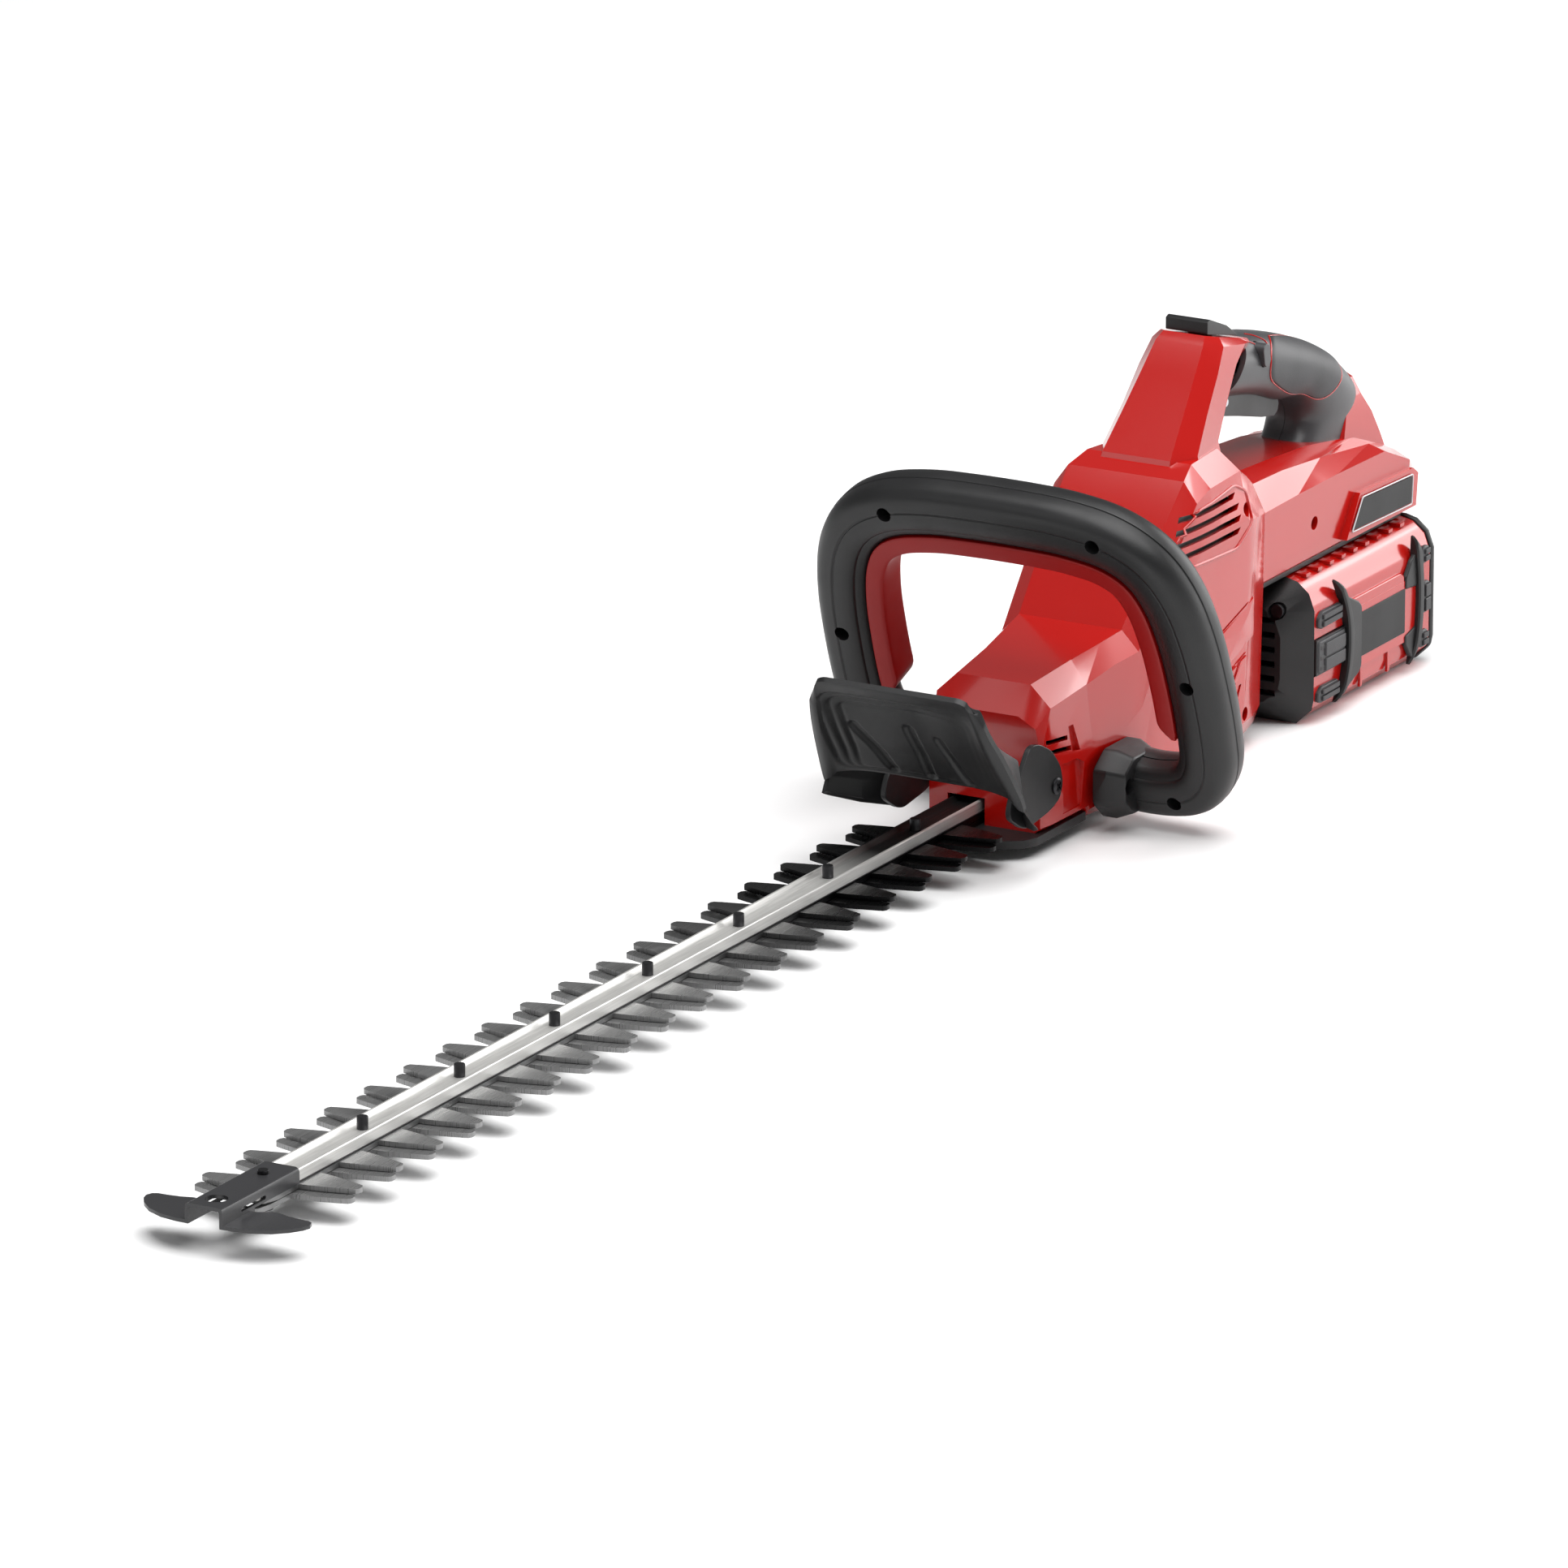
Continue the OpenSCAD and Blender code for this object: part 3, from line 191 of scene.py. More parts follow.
def steel_with_painted_shade(name, c, dark, rough, metallic, y0, y1, stretch, rim=None):
    """Ground steel with painted shade: its colour darkens to near black towards the gearbox, and with rim given a strip
    along the outer rim stays light as a painted lit edge.
    """
    m = Mat(name, c, rough, metallic=metallic, spec=0.4)
    nz = m.noise(30, 4, stretch=stretch)
    unshaded_steel = m.ramp(nz, [(0.3, shade(c, 0.9)), (0.7, shade(c, 1.08))])
    sep = m.n.new("ShaderNodeSeparateXYZ")
    m.t.links.new(m.tc.outputs["Object"], sep.inputs[0])
    # painted shade: the colour runs from unshaded steel to the dark colour between y0 and y1, towards the gearbox
    mr = m.n.new("ShaderNodeMapRange")
    mr.inputs["From Min"].default_value = y0
    mr.inputs["From Max"].default_value = y1
    m.t.links.new(sep.outputs["Y"], mr.inputs["Value"])
    fac = mr.outputs["Result"]
    if rim is not None:
        # painted lit edge: the strip past the rim keeps the unshaded colour while the top face is shaded
        lit_rim_mask = m.n.new("ShaderNodeMapRange")
        lit_rim_mask.inputs["From Min"].default_value = rim
        lit_rim_mask.inputs["From Max"].default_value = rim - 0.0006
        m.t.links.new(sep.outputs["X"], lit_rim_mask.inputs["Value"])
        mul = m.n.new("ShaderNodeMath")
        mul.operation = "MULTIPLY"
        m.t.links.new(fac, mul.inputs[0])
        m.t.links.new(lit_rim_mask.outputs["Result"], mul.inputs[1])
        fac = mul.outputs[0]
    mix = m.n.new("ShaderNodeMix")
    mix.data_type = "RGBA"
    m.t.links.new(fac, mix.inputs["Factor"])
    m.t.links.new(unshaded_steel, mix.inputs["A"])
    mix.inputs["B"].default_value = dark
    m.t.links.new(mix.outputs["Result"], m.b.inputs["Base Color"])
    m.roughness(m.noise(60, 3, stretch=stretch), rough - 0.06, rough + 0.1)
    m.bump(m.noise(400, 3, stretch=stretch), 0.12, 0.0001)
    return m.m


# painted shade: blade steel and bar darken towards the gearbox, and the bar keeps a painted light rim
MATS["blade_steel"] = steel_with_painted_shade("blade_steel", srgb(138, 138, 138), srgb(12, 12, 13), 0.30, 0.7, -0.30, -0.16, (40, 1, 1))
MATS["bar_aluminium"] = steel_with_painted_shade("bar_aluminium", srgb(216, 215, 212), srgb(34, 34, 34), 0.44, 0.8, -0.15, -0.09, (60, 1, 60), rim=RIM_X)
MATS["cap_black"] = plastic("cap_black", srgb(24, 24, 26), 0.5, grain=1.2, spec=0.4)
MATS["silver_print"] = plastic("silver_print", srgb(196, 196, 198), 0.3, grain=0.0)


def smooth_group():
    g = bpy.data.node_groups.new("smooth_by_angle", "GeometryNodeTree")
    g.interface.new_socket("Geometry", in_out="INPUT", socket_type="NodeSocketGeometry")
    s = g.interface.new_socket("Angle", in_out="INPUT", socket_type="NodeSocketFloat")
    s.default_value = 0.6
    g.interface.new_socket("Geometry", in_out="OUTPUT", socket_type="NodeSocketGeometry")
    n = g.nodes
    gi, go = n.new("NodeGroupInput"), n.new("NodeGroupOutput")
    ang = n.new("GeometryNodeInputMeshEdgeAngle")
    cmp_ = n.new("FunctionNodeCompare")
    cmp_.data_type, cmp_.operation = "FLOAT", "LESS_EQUAL"
    f = n.new("GeometryNodeSetShadeSmooth")
    f.domain = "FACE"
    e = n.new("GeometryNodeSetShadeSmooth")
    e.domain = "EDGE"
    g.links.new(gi.outputs[0], f.inputs["Geometry"])
    g.links.new(f.outputs["Geometry"], e.inputs["Geometry"])
    g.links.new(ang.outputs["Unsigned Angle"], cmp_.inputs[0])
    g.links.new(gi.outputs[1], cmp_.inputs[1])
    g.links.new(cmp_.outputs["Result"], e.inputs["Shade Smooth"])
    g.links.new(e.outputs["Geometry"], go.inputs[0])
    return g, s.identifier


SMOOTH, ANGLE_ID = smooth_group()


def soften(o, bevel=0.0006, angle=32, seg=2, dec=True, smooth=36):
    w = o.modifiers.new("weld", "WELD")
    w.merge_threshold = 2e-5
    if dec:
        d = o.modifiers.new("planar", "DECIMATE")
        d.decimate_type = "DISSOLVE"
        d.angle_limit = math.radians(0.6)
    if bevel:
        b = o.modifiers.new("bevel", "BEVEL")
        b.width, b.segments, b.limit_method = bevel, seg, "ANGLE"
        b.angle_limit = math.radians(angle)
        b.use_clamp_overlap = True
        b.miter_outer = "MITER_ARC"
    s = o.modifiers.new("smooth", "NODES")
    s.node_group = SMOOTH
    s[ANGLE_ID] = math.radians(smooth)
    wn = o.modifiers.new("weighted", "WEIGHTED_NORMAL")
    wn.keep_sharp = True
    wn.weight = 60


slot_of = {s["node"]: s["material_slot"] for s in frame["record"]["subparts"]}
BEVEL = {"housing_left": 0.0012, "housing_right": 0.0012, "base_plate": 0.001, "hand_shield": 0.001,
         "upper_blade": 0.0, "lower_blade": 0.0, "blade_bar": 0.0, "battery_shell": 0.0008,
         "battery_front_cap": 0.0016, "battery_rear_cap": 0.0016, "lock_off_slider": 0.0012, "trigger": 0.0016,
         "trigger_spring": 0, "lock_off_spring": 0, "cross_button_spring": 0, "release_springs": 0,
         "battery_cells": 0.0004}
for n, o in NODES.items():
    o.data.materials.clear()
    o.data.materials.append(MATS[slot_of[n]])
    soften(o, BEVEL.get(n, 0.0005), **({"angle": 17, "smooth": 21, "seg": 2} if n.startswith("housing_") and "screws" not in n else {}))


# ------------------------------------------------------------------ mesh helpers
def add_mesh(name, verts, faces, mat=None, smooth=True):
    me = bpy.data.meshes.new(name)
    me.from_pydata([Vector(v) for v in verts], [], faces)
    me.update()
    o = bpy.data.objects.new(name, me)
    bpy.context.scene.collection.objects.link(o)
    if mat:
        me.materials.append(mat)
    if smooth:
        me.polygons.foreach_set("use_smooth", [True] * len(me.polygons))
    return o


def tidy(o):
    bm = bmesh.new()
    bm.from_mesh(o.data)
    bmesh.ops.remove_doubles(bm, verts=bm.verts, dist=1e-6)
    bmesh.ops.recalc_face_normals(bm, faces=bm.faces)
    bm.to_mesh(o.data)
    bm.free()
    return o


def bake(o):
    """Applies the modifiers so far, so that later cuts start from a plain mesh."""
    dg = bpy.context.evaluated_depsgraph_get()
    dg.update()
    me = bpy.data.meshes.new_from_object(o.evaluated_get(dg), preserve_all_data_layers=True, depsgraph=dg)
    o.modifiers.clear()
    old = o.data
    o.data = me
    bpy.data.meshes.remove(old)
    return o


def cut(o, cutters, op="DIFFERENCE"):
    for c in cutters:
        m = o.modifiers.new("cut", "BOOLEAN")
        m.operation, m.solver, m.object = op, "EXACT", c
    bake(o)
    for c in cutters:
        bpy.data.objects.remove(c)
    return o


def rod(p0, p1, r, n=28, r2=None):
    p0, p1 = Vector(p0) * MM, Vector(p1) * MM
    d = (p1 - p0).normalized()
    a = d.orthogonal().normalized()
    b = d.cross(a)
    vs, r2 = [], r if r2 is None else r2
    for p, q in ((p0, r), (p1, r2)):
        for i in range(n):
            t = 2 * math.pi * i / n
            vs.append(p + (a * math.cos(t) + b * math.sin(t)) * q * MM)
    fs = [(i, (i + 1) % n, n + (i + 1) % n, n + i) for i in range(n)]
    fs += [tuple(range(n - 1, -1, -1)), tuple(range(n, 2 * n))]
    return tidy(add_mesh("rod", vs, fs))


def loft(name, rings, mat=None, caps=True, smooth=True):
    """A closed skin over rings of points in millimetres."""
    n = len(rings[0])
    vs = [Vector(p) * MM for r in rings for p in r]
    fs = []
    for i in range(len(rings) - 1):
        for j in range(n):
            fs.append((i * n + j, i * n + (j + 1) % n, (i + 1) * n + (j + 1) % n, (i + 1) * n + j))
    if caps:
        fs += [tuple(range(n - 1, -1, -1)), tuple(range((len(rings) - 1) * n, len(rings) * n))]
    return tidy(add_mesh(name, vs, fs, mat, smooth))


def slab(name, poly, place, h0, h1, mat=None):
    """A prism: poly is a list of 2-D points, place(u, v, h) puts a point in the row frame in millimetres."""
    n = len(poly)
    vs = [Vector(place(u, v, h)) * MM for h in (h0, h1) for u, v in poly]
    fs = [(i, (i + 1) % n, n + (i + 1) % n, n + i) for i in range(n)]
    fs += [tuple(range(n - 1, -1, -1)), tuple(range(n, 2 * n))]
    return tidy(add_mesh(name, vs, fs, mat, False))


def round_poly(pts, r, n=5):
    out = []
    m = len(pts)
    for i in range(m):
        p, a, b = Vector(pts[i]), Vector(pts[i - 1]), Vector(pts[(i + 1) % m])
        da, db = (a - p), (b - p)
        k = min(r, da.length * 0.45, db.length * 0.45)
        pa, pb = p + da.normalized() * k, p + db.normalized() * k
        for j in range(n + 1):
            t = j / n
            q = pa * (1 - t) ** 2 + p * 2 * t * (1 - t) + pb * t ** 2
            out.append((q.x, q.y))
    return out


def catmull(pts, n):
    out = []
    m = len(pts)
    for i in range(m - 1):
        p0, p1, p2, p3 = pts[max(0, i - 1)], pts[i], pts[i + 1], pts[min(m - 1, i + 2)]
        for k in range(n):
            t = k / n
            out.append(tuple(0.5 * ((2 * b) + (-a + c) * t + (2 * a - 5 * b + 4 * c - d) * t * t + (-a + 3 * b - 3 * c + d) * t ** 3)
                             for a, b, c, d in zip(p0, p1, p2, p3)))
    out.append(tuple(pts[-1]))
    return out


def chaikin(p):
    q = [p[0]]
    for a, b in zip(p[:-1], p[1:]):
        q.append(tuple(0.75 * x + 0.25 * y for x, y in zip(a, b)))
        q.append(tuple(0.25 * x + 0.75 * y for x, y in zip(a, b)))
    q.append(p[-1])
    return q


def finish_piece(o, body, slot_name, nodes=(), bevel=0.0006, angle=30, seg=3, smooth=38, dec=False, mat=None):
    o.data.materials.clear()
    o.data.materials.append(mat or MATS[slot_name])
    if bevel is not None:
        soften(o, bevel, angle, seg, dec, smooth)
    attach(o, body)
    if nodes:
        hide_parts(*nodes)
    return o


# ------------------------------------------------------------------ front handle
TILT = math.radians(20.2)
H0 = Vector((0, 30.2, 79))
HN = Vector((0, math.cos(TILT), math.sin(TILT)))
HW = Vector((0, -math.sin(TILT), math.cos(TILT)))


def hp(x, n, w):
    return Vector((x, 0, 0)) + H0 + HN * n + HW * w


HP = [(41.5, -66), (62, -67), (79, -63), (87.6, -50), (89.4, -30), (89.6, -8), (88.2, 20), (83.5, 43), (74, 59.4), (58, 69.6), (36, 74), (14, 75)]
full = HP + [(-x, w) for x, w in reversed(HP)]
path = chaikin(full)
path = catmull([(x, w, 0) for x, w in path], 4)
path = [(x, w) for x, w, _ in path]
FR = [(13.5, -0.35), (13.25, -0.6), (13.3, -3.6), (12.7, -6.6), (11.4, -9.2), (9.4, -11.2), (7.4, -12.1), (5.4, -12.5),
      (3.0, -12.85), (2.4, -12.85), (2.0, -12.5), (1.6, -12.5), (1.2, -12.9), (-0.8, -12.95), (-3.0, -12.8), (-5.6, -12.3), (-7.6, -11.4),
      (-8.2, -10.9), (-8.5, -10.2), (-9.0, -10.0), (-11.2, -9.2), (-12.8, -7.8), (-13.4, -5.6), (-13.4, -0.6), (-13.2, -0.35)]
RR = [(13.2, 0.35), (13.3, 3.4), (12.9, 6.4), (11.6, 9.2), (9.2, 11.4), (6, 12.6), (2, 13), (-2, 13), (-6, 12.6), (-9.2, 11.4), (-11.6, 9.2), (-12.9, 6.4), (-13.3, 3.4), (-13.2, 0.35)]


def sweep(name, sec, pts, taper=None):
    rings = []
    L = [0]
    for a, b in zip(pts[:-1], pts[1:]):
        L.append(L[-1] + math.hypot(b[0] - a[0], b[1] - a[1]))
    for i, p in enumerate(pts):
        a, b = pts[max(0, i - 1)], pts[min(len(pts) - 1, i + 1)]
        t = Vector((b[0] - a[0], b[1] - a[1])).normalized()
        nrm = Vector((t.y, -t.x))          # outward: the path runs anticlockwise from the lower right foot
        k = taper(L[i], L[-1]) if taper else (1, 1)
        rings.append([hp(p[0] + nrm.x * s * k[0], n * k[1], p[1] + nrm.y * s * k[0]) for s, n in sec])
    return loft(name, rings)


def foot(d, L):
    e = min(d, L - d)
    k = 1 + 0.02 * max(0, 1 - e / 16)
    return (k, k)


out_sign = 1
front_shell = sweep("handle_front", FR, path, foot)
HOLES = [(53.4, 72.2), (88.9, 0), (70.8, -67.5)]
cutters = []
for x, w in HOLES:
    for s in (1, -1):
        cutters.append(rod(hp(s * x, -15, w), hp(s * x, -6.2, w), 3.6))
cut(front_shell, cutters)
finish_piece(front_shell, "tool", "black_plastic", ["front_handle_front_shell"], bevel=0.0004, angle=50, seg=2, smooth=42)
rear_shell = sweep("handle_rear", RR, path, foot)
finish_piece(rear_shell, "tool", "black_plastic", ["front_handle_rear_shell"], bevel=0.0004, angle=50, seg=2, smooth=42)

# cross-recess screws sunk in the handle
def screw(name, c, d, r, depth=1.6, slot_name="dark_steel"):
    """A pan head with a cross recess; c is the centre of its face and d points out of it."""
    c, d = Vector(c), Vector(d).normalized()
    a = d.orthogonal().normalized()
    b = d.cross(a)
    n = 24
    rings = [[c + d * h + (a * math.cos(2 * math.pi * i / n) + b * math.sin(2 * math.pi * i / n)) * q for i in range(n)]
             for q, h in ((r * 0.9, -depth), (r, -depth * 0.8), (r, -depth * 0.35), (r * 0.86, -depth * 0.08), (r * 0.6, 0))]
    o = loft(name, rings)
    cs = []
    for e, f in ((a, b), (b, a)):
        q = slab("x", [(-r * 0.62, -r * 0.14), (r * 0.62, -r * 0.14), (r * 0.62, r * 0.14), (-r * 0.62, r * 0.14)],
                 lambda u, v, h: c + e * u + f * v + d * h, -depth * 0.6, 1)
        cs.append(q)
    return cut(o, cs)


def join(name, objs):
    me_objs = list(objs)
    base = me_objs[0]
    bm = bmesh.new()
    for o in me_objs:
        bm.from_mesh(o.data)
    me = bpy.data.meshes.new(name)
    bm.to_mesh(me)
    bm.free()
    me.polygons.foreach_set("use_smooth", [True] * len(me.polygons))
    j = bpy.data.objects.new(name, me)
    bpy.context.scene.collection.objects.link(j)
    for o in me_objs:
        bpy.data.objects.remove(o)
    return j


heads = []
for x, w in HOLES:
    for s in (1, -1):
        heads.append(screw("s", hp(s * x, -7.0, w), -HN, 3.3))
for s in (1, -1):
    heads.append(screw("s", (s * 43.4, 36, 18), (s, 0, 0), 3.5))
finish_piece(join("handle_screws", heads), "tool", "dark_steel", ["front_handle_screws"], bevel=0.00015, angle=40, seg=1, smooth=40)

# dark red liner inside the bail
LQ = [(-13.35, -9.0), (-14.6, -9.6), (-20.6, -9.6), (-22.2, -8.6), (-22.6, -6.5), (-22.6, 6.5), (-22.2, 8.6), (-20.6, 9.6), (-14.6, 9.6), (-13.35, 9.0)]
lpath = [p for p in path if p[1] > -37]


def lin_end(d, L):
    return (1, 1)


def liner_sweep(name, pts):
    rings = []
    m = len(pts)
    for i, p in enumerate(pts):
        a, b = pts[max(0, i - 1)], pts[min(m - 1, i + 1)]
        t = Vector((b[0] - a[0], b[1] - a[1])).normalized()
        nrm = Vector((t.y, -t.x))
        e = min(i, m - 1 - i)
        k = [0.30, 0.62, 0.86, 0.97][e] if e < 4 else 1.0
        ring = []
        for s, n in LQ:
            s2 = -13.35 + (s + 13.35) * k
            ring.append(hp(p[0] + nrm.x * s2, n * (0.9 + 0.1 * k), p[1] + nrm.y * s2))
        rings.append(ring)
    return loft(name, rings)


liner = liner_sweep("handle_liner", lpath)
finish_piece(liner, "tool", "liner_red", ["front_handle_liner"], bevel=0.0003, angle=50, seg=2, smooth=42)

# clamp flanges at the feet
for s, nm in ((1, "left"), (-1, "right")):
    oct_ = [(27.5, 26), (27.5, 10), (38, 0.9), (62, 0.9), (70.5, 8), (70.5, 26), (61, 33.4), (38, 33.4)]
    oct_ = round_poly(oct_, 2.2, 3)
    rings = []
    for x, k in ((36.3, 0.985), (36.8, 1.0), (43.0, 1.0), (50.5, 0.82), (51.0, 0.78)):
        rings.append([(s * x, 49 + (y - 49) * k, 17 + (z - 17) * k) for y, z in oct_])
    fl = loft("clamp_" + nm, rings)
    cut(fl, [rod((s * 42.0, 36, 18), (s * 52, 36, 18), 4.0, 32)])
    finish_piece(fl, "tool", "black_plastic", ["handle_clamps"], bevel=0.0004, angle=28, seg=2, smooth=34)


# ------------------------------------------------------------------ hand shield
CX = -4.9                                   # the guard stands over the blade, a little off the body's centre
CREASE = [(38.2, -89.2, 87.6), (38.7, -87.6, 84), (39.9, -80.4, 68.9), (42.1, -72.2, 54.8), (44.1, -60.6, 39.1), (44.6, -56.5, 34.8)]
EDGE = [(40.4, -88.6, 89.6), (42.4, -86.3, 86.6), (45.4, -80.6, 71.5), (48.6, -71.5, 56.5), (51.2, -60.2, 37.5), (51.4, -56.4, 30.0)]
BK = Vector((0, 0.746, 0.666))
RIBS = [((16, 31), (29, 58)), ((45, 29), (48, 59)), ((60, 33), (68, 60))]


def rrect(x, y, x0, x1, y0, y1, r):
    cx, cy = (x0 + x1) / 2, (y0 + y1) / 2
    qx, qy = abs(x - cx) - (x1 - x0) / 2 + r, abs(y - cy) - (y1 - y0) / 2 + r
    return math.hypot(max(qx, 0), max(qy, 0)) + min(max(qx, qy), 0) - r


def step(a, b, x):
    t = min(1, max(0, (x - a) / (b - a)))
    return t * t * (3 - 2 * t)


def seg_d(x, y, a, b):
    dx, dy = b[0] - a[0], b[1] - a[1]
    t = min(1, max(0, ((x - a[0]) * dx + (y - a[1]) * dy) / (dx * dx + dy * dy)))
    return math.hypot(x - a[0] - t * dx, y - a[1] - t * dy)


def shield_grid():
    cr, ed = catmull(CREASE, 20), catmull(EDGE, 20)
    nv = len(cr)
    H = [0]
    for a, b in zip(cr[:-1], cr[1:]):
        H.append(H[-1] + (Vector(b) - Vector(a)).length)
    cols = [-1 - 0.16 * k / 8 for k in range(8, 0, -1)] + [-1 + 2 * k / 112 for k in range(113)] + [1 + 0.16 * k / 8 for k in range(1, 9)]
    front = []
    for i in range(nv):
        c, e, h = Vector(cr[i]), Vector(ed[i]), H[i]
        row = []
        for u in cols:
            s = 1 if u >= 0 else -1
            if abs(u) > 1:
                t = (abs(u) - 1) / 0.16
                q = c.lerp(e, t) - BK * 1.1 * math.sin(math.pi * t)
                row.append(Vector((CX + s * q.x, q.y, q.z)))
                continue
            x = abs(u) * c.x
            cup = 3.4 * (1 - abs(u) ** 5) * step(0, 14, h)
            X, Y, W = CX + u * c.x + 44.1 - CX, h, 88.2
            fade = 1 - step(50, 72, X) * 0.9
            fade *= 1 - step(44, 60, Y) * 0.8
            d = 0.0
            for off, top, r in ((3.2, 8.5, 7), (7.8, 12.5, 5), (12.4, 16.5, 3.5)):
                g = rrect(X, Y, off, W - off * 0.8, top, H[-1] - 3, r)
                d += 0.8 * fade * (1 - step(-1.0, 1.0, g))
                d += 0.7 * fade * math.exp(-(g / 1.0) ** 2)
            for a, b in RIBS:
                g = seg_d(X, Y, a, b) - 2.2
                d += 1.5 * (1 - step(-1.0, 1.0, g))
            row.append(Vector((CX + s * x, c.y, c.z)) + BK * (cup + d))
        front.append(row)
    # rounded top corners: the outer columns drop below the top edge
    for i, row in enumerate(front):
        for j, u in enumerate(cols):
            k = max(0, abs(u) - 0.86) / 0.30
            f = max(0, 1 - H[i] / 16)
            row[j] += Vector((0, 0.5, -0.86)) * (9 * k * k * f)
    nu = len(cols)
    vs, fs = [], []
    for row in front:
        vs += [p * MM for p in row]
    for row in front:
        vs += [(p + BK * 2.6) * MM for p in row]
    o2 = nv * nu
    for i in range(nv - 1):
        for j in range(nu - 1):
            a = i * nu + j
            fs.append((a, a + 1, a + nu + 1, a + nu))
            fs.append((o2 + a, o2 + a + nu, o2 + a + nu + 1, o2 + a + 1))
    for i in range(nv - 1):
        for j, f in ((0, 0), (nu - 1, 1)):
            a = i * nu + j
            fs.append((a, a + nu, o2 + a + nu, o2 + a) if f == 0 else (a, o2 + a, o2 + a + nu, a + nu))
    for j in range(nu - 1):
        for i, f in ((0, 0), (nv - 1, 1)):
            a = i * nu + j
            fs.append((a, o2 + a, o2 + a + 1, a + 1) if f == 0 else (a, a + 1, o2 + a + 1, o2 + a))
    return tidy(add_mesh("shield_panel", vs, fs))


def plate(name, pts, thick, off=None, rad=2.5):
    """A flat plate on the best plane of pts, thickened away from the front."""
    P = [Vector(p) for p in pts]
    c = sum(P, Vector()) / len(P)
    nrm = Vector()
    for a, b in zip(P, P[1:] + P[:1]):
        nrm += (a - c).cross(b - c)
    nrm.normalize()
    e = (P[1] - P[0]).normalized()
    e = (e - nrm * e.dot(nrm)).normalized()
    f = nrm.cross(e)
    q = round_poly([((p - c).dot(e), (p - c).dot(f)) for p in P], rad, 4)
    return slab(name, q, lambda u, v, h: c + e * u + f * v + nrm * h, 0, thick)


shield = shield_grid()
ear = [(-46, 22), (-34, 14.5), (-28, 13), (-7, 15.6), (2, 19), (5, 25), (3, 34), (-6, 44), (-18, 50), (-26, 51), (-38, 36), (-44, 30)]
ear_r = round_poly(ear, 5, 4)
parts_ = [shield]
for s in (1, -1):
    e_ = slab("ear", ear_r, lambda u, v, h: Vector((s * h, u, v)), 30.7, 33.4)
    parts_.append(e_)
# side wings that run back from the guard's edges to the ears
EDGE_LO = [p for p in catmull(EDGE, 4) if p[2] <= 68]
for s in (1, -1):
    if s == 1:
        tail = [((46.0, -48, 22.5), (33.4, -33, 19)), ((45.6, -41, 17.6), (33.4, -30, 13.6))]
        b0, b1 = Vector((33.4, -38, 47)), Vector((33.4, -32, 25))
    else:
        tail = [((-56.2, -59.6, 24.3), (-33.4, -30, 15.4)), ((-55.0, -56.6, 23.2), (-33.4, -28.5, 13.2))]
        b0, b1 = Vector((-33.4, -38, 47)), Vector((-33.4, -32, 25))
    rows = []
    for i, (x, y, z) in enumerate(EDGE_LO):
        t = i / (len(EDGE_LO) - 1)
        rows.append((Vector((CX + s * x, y, z)), b0.lerp(b1, t)))
    rows += [(Vector(a), Vector(b)) for a, b in tail]
    rings = []
    for k, (a, b) in enumerate(rows):
        n_ = Vector((-s * 0.75, 0.45, 0.48)).normalized() * 2.4
        m = a.lerp(b, 0.5) - Vector((-s * 0.8, 0, 1.0))
        rings.append([a, m, b, b + n_ * 0.7, m + n_, a + n_])
    parts_.append(loft("wing", rings))
finish_piece(parts_[0], "tool", "black_plastic", ["hand_shield"], bevel=0, smooth=50)
finish_piece(join("shield_sides", parts_[1:]), "tool", "black_plastic", ["hand_shield"], bevel=0.0008, angle=40, seg=3, smooth=34)
heads = []
for s in (1, -1):
    heads.append(screw("s", (s * 35.0, -2, 26), (s, 0, 0), 3.9, 2.0))
finish_piece(join("shield_screw_heads", heads), "tool", "dark_steel", ["shield_screws"], bevel=0.00015, angle=40, seg=1, smooth=40)


# ------------------------------------------------------------------ rear grip
GRIP = [((220, 180.3), (197, 155), 17), ((244, 176), (232, 148.2), 17.6), ((272, 168), (257, 139.6), 18), ((295, 158.5), (273, 137), 18),
        ((316, 147), (281, 131.6), 17.8), ((338, 128.5), (284, 124.6), 17.2), ((333, 117), (282, 118.6), 16.6), ((328, 105), (277, 113.6), 16)]
GR = catmull([(a[0], a[1], b[0], b[1], w) for a, b, w in GRIP], 8)


def grip_at(f, ang, grow=0.0):
    """f runs 0..7 along the grip, ang -90 (under) to 90 (top) on the tool's left."""
    k = min(len(GR) - 1, max(0, f * 8))
    i = min(len(GR) - 2, int(k))
    q = [a + (b - a) * (k - i) for a, b in zip(GR[i], GR[i + 1])]
    top, bot, w = Vector(q[0:2]), Vector(q[2:4]), q[4] + grow
    v = top - bot
    u, c, h = v.normalized(), (top + bot) / 2, v.length / 2 + grow
    a = math.radians(ang)
    x = w * abs(math.cos(a)) ** 0.72
    r = h * math.copysign(abs(math.sin(a)) ** 0.86, math.sin(a))
    return Vector((x, c.x + u.x * r, c.y + u.y * r))


def tube(name, pts, r, closed=True, n=8):
    P = [Vector(p) for p in pts]
    m = len(P)
    rings = []
    for i in range(m):
        t = (P[(i + 1) % m] - P[i - 1]).normalized() if closed else (P[min(m - 1, i + 1)] - P[max(0, i - 1)]).normalized()
        a = t.orthogonal().normalized() if i == 0 else (a_ - t * a_.dot(t)).normalized()
        a_ = a
        b = t.cross(a)
        rings.append([P[i] + (a * math.cos(2 * math.pi * k / n) + b * math.sin(2 * math.pi * k / n)) * r for k in range(n)])
    if closed:
        rings.append(rings[0])
    return loft(name, rings, caps=not closed)


